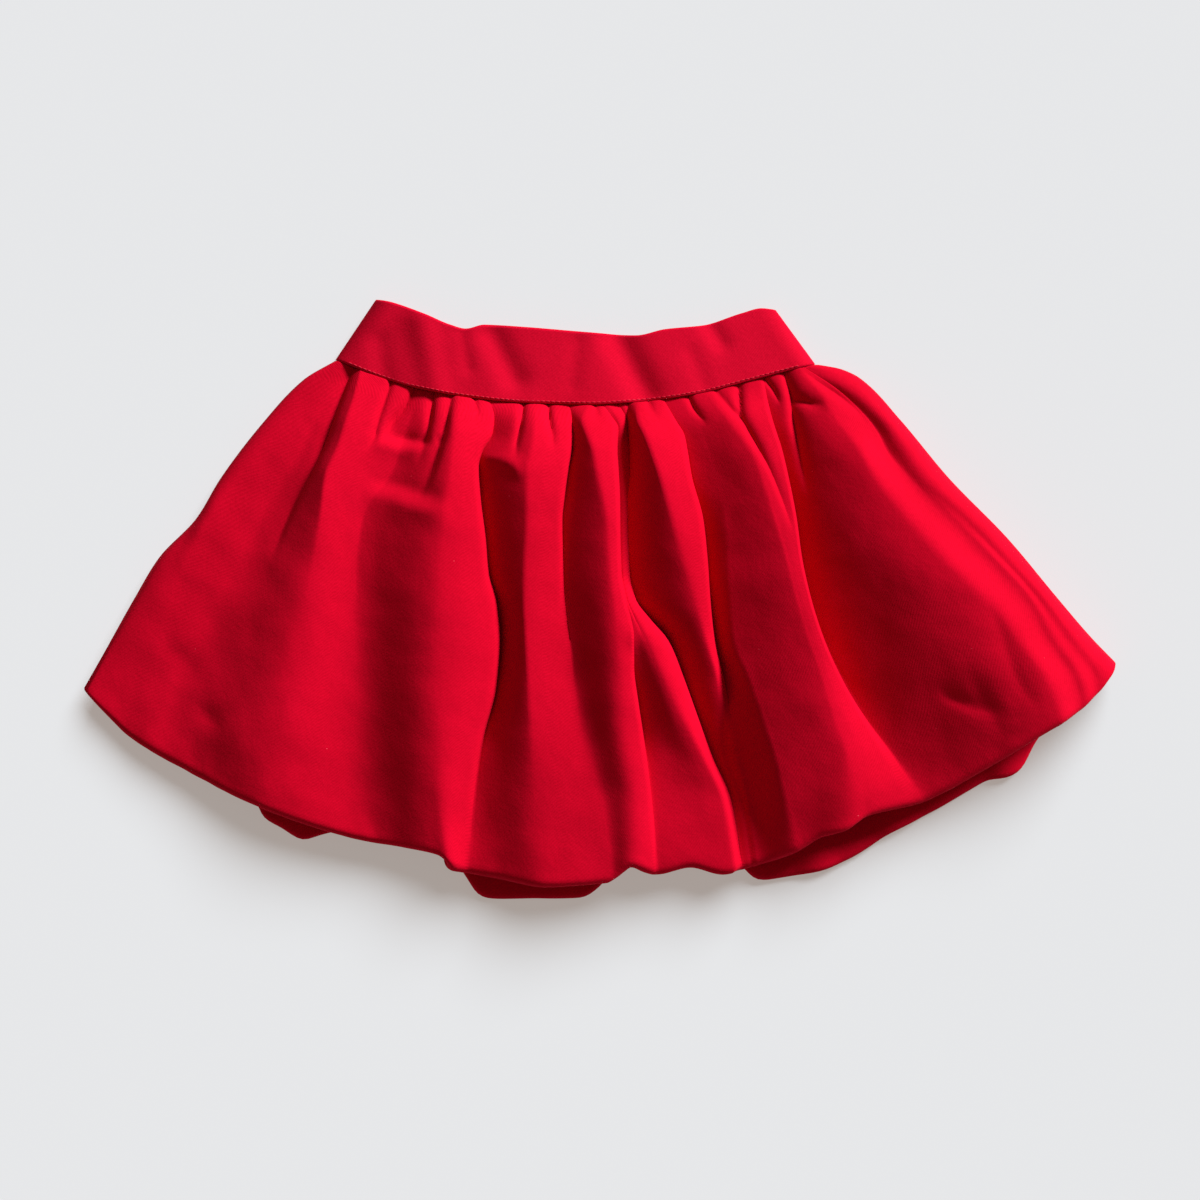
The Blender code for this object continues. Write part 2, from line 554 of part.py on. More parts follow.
def make_front_shell():
    """Front skirt panel with its folds and rolled hem."""
    columns = lane_columns(FRONT_FOLDS, LANE_STEP)
    grid = front_surface(columns, row_shares(FRONT_ROWS))
    grid[:, (0, -1), 2] += SEAM_GAP / 2
    normals = wall_normals(grid, True, (0,))
    grid, normals = roll_hem(grid, normals, roll_radius(grid, FRONT_ROLL))
    return add_piece("shell_front", grid, normals, CLOTH, True, FRONT_RED)


def make_back_shell():
    """Back skirt panel, flat underneath, with its rolled hem."""
    grid = back_surface(row_shares(BACK_ROWS))
    grid[:, (0, -1), 2] -= SEAM_GAP / 2
    normals = wall_normals(grid, False, (0,))
    resting = grid[:, :, 2] < CLOTH / 2 + REST_SLACK
    grid[resting, 2] = CLOTH / 2
    normals[resting] = (0, 0, -1)
    grid, normals = roll_hem(grid, normals, roll_radius(grid, BACK_ROLL))
    return add_piece("shell_back", grid, normals, CLOTH, False, BACK_RED)


def make_band(name, rise, upward):
    """One half of the waistband."""
    grid = band_surface(rise, upward)
    grid[:, (0, -1), 2] += SEAM_GAP / 2 if upward else -SEAM_GAP / 2
    normals = wall_normals(grid, upward, (0, -1))
    return add_piece(name, grid, normals, BAND_CLOTH, upward, BAND_RED)


def centre_on_origin(pieces):
    """Origin in the middle of the skirt's outline, on the surface it lies on."""
    points = np.concatenate([[vertex.co[:] for vertex in piece.data.vertices]
                             for piece in pieces])
    low, high = points.min(axis=0), points.max(axis=0)
    shift = np.array([-(low[0] + high[0]) / 2, -(low[1] + high[1]) / 2, -low[2]])
    for piece in pieces:
        for vertex in piece.data.vertices:
            vertex.co = [value + move for value, move in zip(vertex.co, shift)]


def main():
    """Build the four pieces."""
    for thing in list(bpy.data.objects):
        bpy.data.objects.remove(thing, do_unlink=True)
    pieces = [
        make_band("waistband_front", BAND_RISE, True),
        make_band("waistband_back", BAND_CLOTH / 2, False),
        make_front_shell(),
        make_back_shell(),
    ]
    centre_on_origin(pieces)


main()
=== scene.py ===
"""Toddler's balloon skirt in red cotton twill, laid flat on its back.

Every piece of cloth is a thin closed shell on the form of its solid, worked out here
again from the same outlines and nearly the same folds, with the gathers, tucks and
creases that the solids are too plain for.  Sizes are in millimetres until a mesh is
made, and in metres in the materials, the setting and the flat cuts.
"""
from collections import namedtuple

import bpy
import numpy as np
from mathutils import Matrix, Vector


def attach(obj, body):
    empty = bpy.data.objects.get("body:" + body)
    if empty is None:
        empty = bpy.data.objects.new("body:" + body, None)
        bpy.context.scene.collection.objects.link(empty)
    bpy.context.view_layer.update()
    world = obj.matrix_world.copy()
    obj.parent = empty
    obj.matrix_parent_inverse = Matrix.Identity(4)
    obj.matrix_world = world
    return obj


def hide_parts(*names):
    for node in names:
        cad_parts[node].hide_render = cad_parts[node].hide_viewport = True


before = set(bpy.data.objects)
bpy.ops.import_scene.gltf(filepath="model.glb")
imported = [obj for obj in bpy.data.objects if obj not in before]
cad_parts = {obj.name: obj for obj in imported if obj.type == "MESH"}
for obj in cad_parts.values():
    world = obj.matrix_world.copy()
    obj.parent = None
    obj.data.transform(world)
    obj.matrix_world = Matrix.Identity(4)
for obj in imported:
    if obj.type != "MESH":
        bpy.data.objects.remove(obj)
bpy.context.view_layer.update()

MM = 0.001
SHIFT = np.array([0.0, 0.766, 0.0])     # from the drawing's frame to the row's frame

# ---------------------------------------------------------------- driving sizes
CLOTH = 1.3                 # wall of a skirt panel
BAND_CLOTH = 2.1            # wall of the waistband, the twill folded double
SEAM_GAP = 0.15             # clear gap between two pieces at a seam
BAND_RISE = 9.8             # middle of the front band above the surface
SIDE_TOP = 5.5              # height of the side seams at the waist and in the band
SIDE_FOOT = 12.0            # height of the side seams at the hem
BAND_TWIST = 3.4            # the band's top edge is this much up at its left, down at its right
BAND_ROUND = 9.0            # how far in from the side the band starts to turn down
FRONT_ROLL = 3.4            # radius of the front panel's rolled hem
BACK_ROLL = 2.4             # radius of the back panel's rolled hem
CORNER_ROLL = 1.3           # radius of both rolls where they meet at a side seam
ROLL_TAPER = 34.0           # length of hem over which a roll tightens to the corner
ROLL_EASE = 6.0             # the cloth draws back before the roll, over this many radii
ROLL_TILT = 0.3             # share of the cloth's slope at the hem that the roll keeps
RETURN = 42.0               # how far the rolled hem runs back up inside
LEAST_RETURN = 0.25         # share of that run that is left at a side seam
BACK_ROUND_TOP = 6.0        # how far in from the side seam the back lifts at the waist
BACK_ROUND = 17.0           # and at the hem
PLEAT_RISE = 0.35           # share of the way down over which the back's pleats stand up
PLEAT_FALL = 0.6            # share of the way down where they start to fall again
PLEAT_HEM = 0.5             # share of their height that is left at the hem

SOFTENING = 0.5             # share of the way down over which a fold line softens
EDGE_AT = 0.76              # a hanging fold's edge, as a share of the columns in its lane
GENTLE = 0.30               # slope of the cloth on its way to that edge
MOST_SHOWN = 0.65           # largest share of the fall that shows from above
OVERHANG = 1.0              # how far the edge hangs over the valley
LEAST_LANE = 9.0            # a narrower lane has as many columns as one of this width
CREASE_SHAPE = 1.3          # 1 is a knife crease, 2 a soft trough
CREASE_REACH = 3            # a crease presses nothing further off than so many widths
SIDE_CALM = 14.0            # how far in from a side seam the panel's creases fade out
BAND_CALM = 12.0            # and the band's unevenness
BOW_FADE = 3                # power with which a side seam's bow fades out across the back

FRONT_COLUMNS = 380
FRONT_ROWS = 102
BACK_COLUMNS = 210
BACK_ROWS = 64
ROLL_ROWS = 9
RETURN_ROWS = 9
HEM_SPAN = 3                # rows over which the cloth's direction at the hem is read
HEM_CALM = 12               # times that directions at the hem are averaged with those beside
HEM_ROUNDING = 3            # times that the corners of the back's hem are rounded
CREASE_POINTS = 28          # points that a crease's path is followed through
BAND_COLUMNS = 300
BAND_ROWS = 30
ROW_CROWD = 1.25            # above 1 the rows stand closer together at the gathers
SIDE_CROWD = 0.45           # how much closer the band's columns stand at its sides

# ---------------------------------------------------------------- outline
Edge = namedtuple("Edge", "x y")

BAND_TOP = (
    Edge(-110, 147.5), Edge(-103, 146), Edge(-86, 140), Edge(-74, 135), Edge(-66, 133),
    Edge(-57, 135), Edge(-39, 134), Edge(0, 131), Edge(18, 130), Edge(32, 133),
    Edge(51, 135), Edge(70, 141), Edge(80, 143.5), Edge(85.5, 143),
)
SEAM = (
    Edge(-130, 117.5), Edge(-111, 110), Edge(-92, 104), Edge(-68, 99.5), Edge(-39, 96.5),
    Edge(-5, 95.5), Edge(25, 97.5), Edge(49, 101), Edge(71, 106.5), Edge(90, 111.5),
    Edge(105.5, 115.5),
)
LEFT_SIDE = (
    Edge(-130, 117.5), Edge(-146, 108), Edge(-165, 88), Edge(-187, 59), Edge(-199, 39),
    Edge(-217, 20), Edge(-229, 0), Edge(-245, -29), Edge(-254, -45),
)
RIGHT_SIDE = (
    Edge(105.5, 115.5), Edge(119, 113), Edge(129, 108), Edge(148, 88), Edge(172, 59),
    Edge(201, 29), Edge(225, 0), Edge(242, -20), Edge(254, -32.5),
)
FRONT_HEM = (
    Edge(-254, -45), Edge(-243, -57), Edge(-232, -68), Edge(-204, -84), Edge(-174, -99),
    Edge(-142, -111), Edge(-115, -118.5), Edge(-96, -122), Edge(-80, -125),
    Edge(-69, -133), Edge(-49, -137), Edge(-28, -140.5), Edge(3, -139), Edge(15.5, -131),
    Edge(28, -135), Edge(44, -131.5), Edge(60, -135), Edge(72, -132), Edge(96, -124),
    Edge(108, -116.5), Edge(120, -113.5), Edge(131, -106.5), Edge(159, -99),
    Edge(187, -84), Edge(216, -66), Edge(237, -53), Edge(251, -37.5), Edge(254, -32.5),
)
BACK_HEM = (
    Edge(-254, -45), Edge(-243, -54), Edge(-220, -69), Edge(-196, -83), Edge(-178, -93),
    Edge(-169, -101), Edge(-168, -108), Edge(-155, -114.5), Edge(-146, -120.5),
    Edge(-142, -116.5), Edge(-126, -114.5), Edge(-103, -115), Edge(-79, -120.5),
    Edge(-68, -133.5), Edge(-61, -147.5), Edge(-52, -148.5), Edge(-29, -148),
    Edge(-7, -148), Edge(3, -139.5), Edge(14, -127), Edge(39, -122.5), Edge(64, -123.5),
    Edge(71, -131.5), Edge(75, -139), Edge(80, -139.5), Edge(110, -134.5),
    Edge(126, -127.5), Edge(144, -115.5), Edge(167, -104), Edge(194, -88),
    Edge(201, -89), Edge(208, -85), Edge(217, -68), Edge(235, -51), Edge(254, -32.5),
)

# ---------------------------------------------------------------- folds of the front
# A row is one line down the front panel, from the waist seam to the hem.  Its kind is
# crest or valley, and its path gives (x, y, height of the cloth) on the way.  A crisp
# line is a crease, at 1, or a soft turn, at 0, and it softens at that share of the way
# down.  Cloth that falls to a crisp valley hangs a little over it.
Fold = namedtuple("Fold", "name kind crisp softens path")

FRONT_FOLDS = (
    Fold("left bulge", "crest", 0.0, 0.5, (
        (-126.5, 116, 9), (-146, 96, 11.5), (-166, 74, 13.5), (-182, 54, 14.5),
        (-194, 36, 15.5), (-205, 15, 16), (-212, -5, 15.8), (-219, -25, 15.5),
        (-231, -42, 14), (-235, -65, 13.5))),
    Fold("left valley", "valley", 0.0, 0.5, (
        (-121.5, 115.5, 8.6), (-134, 100, 10.6), (-142, 88, 12), (-148, 74, 13.5),
        (-157, 59, 14.5), (-169, 39, 15.5), (-177, 20, 16.2), (-188, 0, 16.5),
        (-197, -20, 16.5), (-208, -39, 15.8), (-215, -59, 15.2), (-220, -76, 15))),
    Fold("tall left ridge", "crest", 0.9, 0.3, (
        (-118, 112, 10.4), (-121, 98, 16), (-124, 88, 19.5), (-128, 74, 23),
        (-134, 59, 26), (-136.5, 39, 27.5), (-140, 20, 28), (-144, 0, 28.5), (-148, -20, 28.5),
        (-153, -39, 28.5), (-158, -59, 28.5), (-163, -78, 27.5), (-162, -104, 25))),
    Fold("broad valley", "valley", 0.2, 0.4, (
        (-88, 103, 8.4), (-92, 92, 12), (-96, 80, 15), (-99, 69, 17), (-104, 58, 18.5),
        (-111, 49, 20), (-116, 39, 20.8), (-118.5, 20, 21.5), (-119, 0, 22), (-119, -20, 22.3),
        (-119, -39, 22.5), (-119, -59, 22.5), (-119, -78, 22.3), (-118, -98, 22),
        (-110, -120, 22))),
    Fold("left middle ridge", "crest", 0.3, 0.3, (
        (-68, 98.5, 10.4), (-71, 88, 20), (-71.5, 80, 24), (-72, 73, 26.5), (-73, 64, 29),
        (-74, 54, 31), (-76, 39, 33), (-78.5, 20, 34), (-79, 0, 35), (-79.5, -20, 35),
        (-80, -39, 35), (-79.5, -59, 34.5), (-79.5, -78, 33.5), (-79, -98, 31.5),
        (-75, -127, 28))),
    Fold("left middle valley", "valley", 1.0, 0.75, (
        (-56, 97, 8.4), (-53.5, 88, 12), (-54.5, 80, 14), (-59, 72, 16), (-61, 64, 17),
        (-60, 49, 17), (-57.5, 29, 17), (-56, 12, 16.5), (-52, -3, 16), (-50.5, -20, 16),
        (-52, -44, 17), (-57, -65, 18), (-60, -80, 19), (-62.5, -103, 20), (-64, -133, 21))),
    Fold("middle ridge", "crest", 0.5, 0.65, (
        (-31, 96, 10.4), (-32, 88, 20), (-32.5, 80, 25), (-33.5, 73, 28), (-35.5, 60, 31),
        (-35.5, 39, 32), (-36.5, 20, 31.5), (-37, 0, 31.5), (-36, -20, 31), (-35, -39, 31),
        (-34, -59, 31), (-33, -78, 30.5), (-31, -98, 29.5), (-26, -140, 28))),
    Fold("middle valley", "valley", 1.0, 0.5, (
        (-16.5, 96, 8.4), (-15, 88, 11), (-15, 80, 13), (-15.5, 73, 14.5), (-17, 64, 16),
        (-19, 49, 18.5), (-20, 39, 20), (-19, 10, 22), (-17, -8, 23.5), (-14.5, -24, 25),
        (-11.5, -44, 26), (-8, -65, 27), (-4, -82, 27.7), (1.5, -100, 28), (6, -139, 25.5))),
    Fold("right middle ridge", "crest", 0.4, 0.4, (
        (-5, 96, 10.4), (-8.5, 88, 19), (-6, 80, 24), (-3.5, 73, 27), (-1, 60, 30),
        (3, 39, 32.5), (4, 20, 34), (6, 0, 35), (8, -20, 35), (9, -39, 34.5), (10, -59, 34),
        (12.5, -78, 33), (15, -98, 31), (15, -131, 28))),
    Fold("split valley", "valley", 1.0, 0.9, (
        (0, 96, 9.2), (4, 90, 12.5), (7.5, 84, 13), (7, 73, 14), (7.5, 64, 15.5),
        (8.2, 49, 17.5), (8.4, 29, 19.5), (9, 12, 22), (11, 0, 28), (15, -18, 33.4),
        (15, -32, 29), (17, -49, 25), (20, -68, 23.5), (23.5, -91, 22.5), (28, -134, 22))),
    Fold("split ridge", "crest", 0.3, 0.6, (
        (3, 96.5, 9.8), (8, 90, 13), (10, 84, 13.6), (9.5, 73, 14.6), (10.5, 64, 16),
        (11.2, 49, 18.2), (11, 29, 20), (11.2, 12, 22.5), (13.5, 0, 28.5), (18, -9, 32),
        (24, -20, 33.5), (29, -32, 33.5), (36, -49, 31.5), (43.5, -64, 28.5), (51, -78, 25),
        (60, -98, 22.5), (66, -133, 22))),
    Fold("slanting valley", "valley", 0.8, 0.75, (
        (8, 97, 8.4), (12.5, 88, 10), (13.5, 81, 11.5), (14.5, 73, 13), (14.5, 64, 14.5),
        (13.2, 49, 17), (13, 29, 18), (13.5, 12, 18.5), (16.5, 0, 18.5), (24, -10, 18.5),
        (32.5, -20, 18.5), (40.5, -39, 17.5), (48, -59, 13.5), (55, -78, 11.5), (64, -98, 12.5),
        (70, -132, 16))),
    Fold("slanting ridge", "crest", 0.6, 0.3, (
        (18, 97.5, 10.4), (18.5, 88, 19), (21.5, 81, 23), (24.5, 73, 26), (29, 60, 29),
        (35, 39, 31.5), (40, 20, 32.5), (45.5, 0, 32.5), (51, -20, 29), (56.5, -39, 23.5),
        (59, -59, 17.5), (61.5, -78, 13.6), (69, -98, 14), (74, -132, 16.5))),
    Fold("right middle valley", "valley", 1.0, 0.6, (
        (30, 99, 8.4), (36, 88, 12), (40, 81, 13.5), (41.5, 73, 15), (43.5, 60, 17),
        (49, 39, 18), (51, 20, 18), (52.5, 0, 17), (55, -20, 15), (60, -39, 15.5),
        (64.5, -59, 18.2), (68, -78, 15.8), (73, -98, 15.3), (78, -131, 17.5))),
    Fold("right middle bank", "crest", 0.8, 0.9, (
        (42, 100.5, 9.6), (48, 88, 15), (51, 81, 17.5), (54, 73, 20), (57.5, 60, 22.5),
        (61, 39, 25), (62.5, 20, 25.5), (63, 0, 25.5), (64.5, -20, 25.5), (72, -39, 27.5),
        (79, -59, 28), (85, -78, 27.3), (90, -98, 26), (97, -123, 24))),
    Fold("right ridge", "crest", 0.5, 0.6, (
        (52, 102, 10.4), (61, 90, 19), (65, 84, 22.5), (69.5, 78, 25.5), (75, 69, 28.5),
        (80, 54, 31.5), (84.5, 39, 33), (90, 20, 34.5), (95, 0, 35.5), (101, -20, 36),
        (107.5, -39, 35.5), (113, -59, 34.5), (119, -78, 33), (120, -98, 31), (116, -115, 28))),
    Fold("right valley", "valley", 1.0, 0.85, (
        (79, 108, 8.4), (81, 97, 10), (83, 88, 11), (85, 81, 12), (87.5, 73, 13),
        (90.5, 60, 14), (94.5, 39, 15), (97, 20, 15), (101.5, 0, 15), (108, -20, 15),
        (117, -39, 16), (129.5, -59, 18), (144, -78, 20), (160, -99, 21))),
    Fold("tall right ridge", "crest", 0.2, 0.3, (
        (98, 114, 10), (109, 100, 16.5), (115.5, 88, 21.5), (120.5, 81, 24.5), (126, 73, 27.5),
        (133, 60, 30.5), (148, 39, 34), (164, 20, 36.5), (185, 0, 38), (201, -20, 38.5),
        (215, -39, 37.5), (224, -60, 33))),
    Fold("right side valley", "valley", 0.6, 0.15, (
        (100, 115, 9.4), (119, 102, 13.5), (132.5, 88, 17.5), (137, 81, 19), (140.5, 73, 20.5),
        (152, 59, 24), (172, 39, 27), (191, 20, 29.3), (209, 0, 30.3), (220, -20, 30.8),
        (233, -39, 28.5), (237, -53, 26))),
    Fold("right side bulge", "crest", 0.0, 0.5, (
        (102, 115, 9), (126, 101, 15), (139, 88, 20), (144, 81, 21.5), (149, 73, 23),
        (158, 59, 25), (179, 39, 26.3), (197, 20, 27.5), (215, 0, 28.2), (230, -20, 27),
        (242, -35, 22.5), (245, -44, 22))),
)

# Creases over those folds.  A path gives (x, y, depth) along the crease, negative for a
# ridge, and the crease fades out over the widths to the left and right of its path.
Crease = namedtuple("Crease", "left right path")

GATHERS = (
    Crease(3.6, 1.6, ((-121.5, 115, 2), (-127, 100, 2.5), (-131, 88, 3), (-135, 76, 3.2),
                      (-140, 64, 3), (-147, 51, 2.4), (-154, 36, 1.4), (-161, 18, 0))),
    Crease(1.6, 1.6, ((-102.4, 109, 2.2), (-106, 98, 2.5), (-109, 88, 2), (-111, 78, 1.5),
                      (-116, 72, 0))),
    Crease(1.4, 4.5, ((-91.6, 104, 2.4), (-97, 94, 4), (-102, 88, 4), (-104.5, 83, 2.5),
                      (-107, 76, 0))),
    Crease(2.4, 1.8, ((-82, 101, 2.4), (-83, 92, 4), (-84, 84, 3.2), (-86, 75, 1.6),
                      (-89, 66, 0))),
    Crease(5.0, 1.5, ((-73, 100, 2.4), (-74.5, 88, 4), (-76, 80, 3.4), (-79, 70, 3),
                      (-83, 58, 1.8), (-89, 46, 0))),
    Crease(1.3, 1.5, ((-62.2, 99, 2.2), (-61, 93, 1.5), (-59.5, 87, 0))),
    Crease(1.5, 1.7, ((-37.5, 96, 2.4), (-38, 91, 4), (-39, 84, 3.2), (-40.5, 76, 2.2),
                      (-41, 68, 0))),
    Crease(1.5, 1.6, ((-25.5, 96, 2.2), (-25, 88, 4), (-23.5, 80, 2), (-23, 72, 0))),
    Crease(1.2, 1.4, ((-2.5, 96, 2), (-2, 90, 1.2), (-1, 84, 0))),
    Crease(1.5, 2.6, ((14, 97, 2), (13.8, 88, 2.5), (14, 80, 2), (14.6, 72, 1.5),
                      (14, 52, 0))),
    Crease(1.3, 1.4, ((23.5, 98, 2), (25.5, 92, 1.5), (29, 85, 0))),
    Crease(1.4, 1.6, ((43, 101, 2), (46, 94, 2), (53, 85, 0))),
    Crease(1.2, 2.4, ((56.4, 103, 1.5), (65, 92, 2.5), (69, 88, 4), (73, 81, 4),
                      (77, 73.5, 3), (82, 64, 2), (88, 49, 1.2), (94, 32, 0))),
    Crease(1.8, 1.6, ((68.6, 106, 2.4), (69, 96, 3.5), (70, 86, 0))),
    Crease(1.3, 1.4, ((81, 109, 2), (86, 102, 1.8), (89, 95, 0))),
    Crease(1.6, 3.6, ((90.5, 112, 2.6), (94, 99, 4.5), (95, 88, 4), (96.5, 80, 3.5),
                      (98, 72, 2.5), (100, 62, 1.5), (102, 50, 0))),
    Crease(2.0, 2.6, ((98, 113.5, 0), (108, 106, 1.5), (118, 99, 2.2), (126, 92, 1.2),
                      (133, 82, 0))),
)

CROSS_CREASES = (
    # pocket under the second gather, and the tuck that closes it below
    Crease(2.0, 6.5, ((-107, 81, 0), (-101, 79, 2.6), (-94, 77.5, 3.4), (-88, 77, 2.6),
                      (-82, 78, 0))),
    Crease(4.0, 2.2, ((-116, 75, 0), (-106, 75, -1.2), (-96, 72.5, -1.6), (-87, 72.5, -1.2),
                      (-80, 74, 0))),
    # soft hollow and ridge that run across into the left middle ridge
    Crease(3.5, 5.0, ((-118, 58, 0), (-108, 57, 1.0), (-98, 55, 1.4), (-84, 50, 1.4),
                      (-76, 49, 0))),
    Crease(8.0, 4.0, ((-117, 50, 0), (-104, 49, -1.8), (-92, 44.5, -2.2), (-82, 42.5, -1.7),
                      (-72, 45, 0))),
    # hook at the head of the left middle valley
    Crease(2.2, 5.0, ((-61, 68, 0), (-55, 68, -2.2), (-48, 67, -3), (-42, 64, -2),
                      (-38, 57, 0))),
    # dimple and soft creases low on the left
    Crease(5, 6, ((-200, -50, 0), (-192, -58, 1.2), (-183, -63, 0))),
    Crease(7, 7, ((-216, -20, 0), (-204, -31, 0.8), (-194, -44, 0))),
    # layered fold at the left edge
    Crease(2.0, 3.0, ((-199, 37, 0), (-205, 28, 1.0), (-214, 16, 0))),
    # creases that cross the right ridges low down
    Crease(2.5, 5, ((163, -43, 0), (172, -49, 1.6), (184, -53, 1.2), (196, -55, 0))),
    Crease(5, 4, ((182, 14, 0), (194, -16, 0.9), (202, -39, 1.0), (214, -56, 0))),
    Crease(5, 5, ((176, -32, 0), (188, -52, 0.9), (200, -72, 0))),
    # head of the right side fold
    Crease(2.4, 3.0, ((93, 98, 0), (99, 97, 3.2), (104, 95.5, 2.6), (111, 95, 0))),
)

# Soft hollows pressed across the waistband, from one end to the other, negative for a rise.
Hollow = namedtuple("Hollow", "x y to_x to_y depth width")

BAND_HOLLOWS = (
    Hollow(-109, 126, -106, 106, 0.9, 6),
    Hollow(-88, 137, -81, 103, -1.5, 7),
    Hollow(-68, 131, -65, 114, 0.6, 4),
    Hollow(-53, 130, -42, 108, 1.9, 7),
    Hollow(-11, 126, -14, 106, 0.6, 5),
    Hollow(8, 130, 23, 101, 2.5, 8),
    Hollow(53, 137, 60, 126, 1.1, 5),
    Hollow(45, 121, 51, 106, 0.6, 5),
)

# Slow unevenness of the cloth: how high its hills are, and how far apart.
Swell = namedtuple("Swell", "height spacing seed")

FRONT_SWELLS = (Swell(0.7, 34, 3), Swell(0.35, 15, 5), Swell(0.12, 6, 8))
BAND_SWELL = Swell(0.25, 16, 11)

# Folds of the back panel stand up from the surface into the skirt, from waist to hem.
Pleat = namedtuple("Pleat", "waist_x hem_x height width")

BACK_PLEATS = (
    Pleat(-112, -205, 4, 12),
    Pleat(-92, -146, 5, 12),
    Pleat(-71, -104, 4, 11),
    Pleat(-49, -66, 5, 11),
    Pleat(-27, -22, 4, 11),
    Pleat(-4, 12, 5, 11),
    Pleat(18, 44, 4, 10),
    Pleat(38, 73, 5, 11),
    Pleat(58, 108, 4, 12),
    Pleat(76, 148, 5, 12),
    Pleat(92, 202, 4, 12),
)


# ---------------------------------------------------------------- curves
def smooth(at, stations, values):
    """Values at any place between stations, with no overshoot (monotone cubic)."""
    at = np.asarray(at, float)
    stations = np.asarray(stations, float)
    values = np.asarray(values, float)
    step = np.diff(stations)
    rise = np.diff(values) / step
    slope = np.zeros(len(values))
    slope[0], slope[-1] = rise[0], rise[-1]
    product = rise[:-1] * rise[1:]
    total = np.where(product > 0, rise[:-1] + rise[1:], 1.0)
    slope[1:-1] = np.where(product > 0, 2 * product / total, 0.0)
    cell = np.clip(np.searchsorted(stations, at, side="right") - 1, 0, len(step) - 1)
    t = np.clip((at - stations[cell]) / step[cell], 0, 1)
    lift = t * t * (3 - 2 * t)
    enter = t * (1 - t) ** 2 * slope[cell]
    leave = t * t * (t - 1) * slope[cell + 1]
    return values[cell] * (1 - lift) + values[cell + 1] * lift + step[cell] * (enter + leave)


def edge_y(edge, x):
    """Height up the skirt of an outline at x."""
    return smooth(x, [point.x for point in edge], [point.y for point in edge])


def unit(vectors):
    """The same vectors, one long."""
    return vectors / np.linalg.norm(vectors, axis=-1, keepdims=True)


def ease(t):
    """0 to 1 with a soft start and end."""
    t = np.clip(t, 0, 1)
    return t * t * (3 - 2 * t)


def share_down(path):
    """How far down from the waist to the hem each point of a path lies, 0 to 1."""
    path = np.array(path, float)
    return (path[0, 1] - path[:, 1]) / (path[0, 1] - path[-1, 1])


# ---------------------------------------------------------------- creases and unevenness
def crease_depth(points, crease):
    """How far one crease presses the cloth down at each (x, y) point."""
    path = np.array(crease.path, float)
    along = np.linspace(0, len(path) - 1, CREASE_POINTS)
    number = np.arange(len(path))
    line = np.stack([smooth(along, number, path[:, k]) for k in range(3)], 1)
    reach = CREASE_REACH * max(crease.left, crease.right)
    low, high = line[:, :2].min(0) - reach, line[:, :2].max(0) + reach
    near = np.all((points > low) & (points < high), axis=-1)
    spot = points[near]
    best = np.full(len(spot), np.inf)
    press = np.zeros(len(spot))
    for here, there in zip(line[:-1], line[1:]):
        run = there[:2] - here[:2]
        t = np.clip((spot - here[:2]) @ run / (run @ run), 0, 1)
        away = spot - here[:2] - t[:, None] * run
        side = run[0] * away[:, 1] - run[1] * away[:, 0]
        width = np.where(side > 0, crease.right, crease.left)
        distance = np.linalg.norm(away, axis=1) / width
        closer = distance < best
        best = np.where(closer, distance, best)
        press = np.where(closer, here[2] + t * (there[2] - here[2]), press)
    depth = np.zeros(points.shape[:-1])
    depth[near] = press * np.exp(-best ** CREASE_SHAPE)
    return depth


def uneven(points, swell):
    """Slow random rise and fall, with hills about one spacing apart."""
    low = points.reshape(-1, 2).min(0)
    cells = ((points.reshape(-1, 2).max(0) - low) / swell.spacing).astype(int) + 3
    heights = np.random.RandomState(swell.seed).uniform(-1, 1, cells)
    at = (points - low) / swell.spacing
    cell = at.astype(int)
    t = ease(at - cell)
    i, j = cell[..., 0], cell[..., 1]
    near = heights[i, j] * (1 - t[..., 0]) + heights[i + 1, j] * t[..., 0]
    far = heights[i, j + 1] * (1 - t[..., 0]) + heights[i + 1, j + 1] * t[..., 0]
    return swell.height * (near * (1 - t[..., 1]) + far * t[..., 1])


# ---------------------------------------------------------------- surfaces
def crispness(fold, shares):
    """How sharp a fold line is at each share of the way down, from 1 to 0."""
    return fold.crisp * (1 - ease((shares - fold.softens) / SOFTENING + 0.5))


def climb_share(start, end, t):
    """Share of the climb between two lines, level at a soft line and steep at a crisp one."""
    leave, arrive = 1 - start, 1 - end
    terms = (start, leave, -(leave + start * arrive) / 3, -leave * arrive / 2,
             leave * arrive / 5)
    climb = sum(term * t ** (k + 1) for k, term in enumerate(terms))
    return climb / sum(terms)


def hanging_fold(start, t, width, drop):
    """Shares of the width and the fall of cloth that hangs over a crisp valley."""
    shown = np.minimum(MOST_SHOWN, GENTLE * width / np.maximum(drop, 1.0))
    if t < EDGE_AT:
        along = t / EDGE_AT
        return along, shown * climb_share(start, 1.0, along)
    below = (t - EDGE_AT) / (1 - EDGE_AT)
    along = 1 + OVERHANG * np.sin(np.pi * below) / np.maximum(width, 1.0)
    return along, shown + (1 - shown) * below


def side_line(edge, shares):
    """A side seam of the skirt, as both panels share it."""
    x = smooth(shares, share_down(edge), [point.x for point in edge])
    y = edge[0].y + shares * (edge[-1].y - edge[0].y)
    return np.stack([x, y, SIDE_TOP + shares * (SIDE_FOOT - SIDE_TOP)], 1)


def lane_columns(places, count):
    """Places across the panel as lane numbers, evenly far apart where each lane is widest."""
    width = np.maximum(np.diff(places, axis=0).max(axis=1), LEAST_LANE)
    reach = np.concatenate([[0], np.cumsum(width)])
    return np.interp(np.linspace(0, reach[-1], count), reach, np.arange(len(places)))


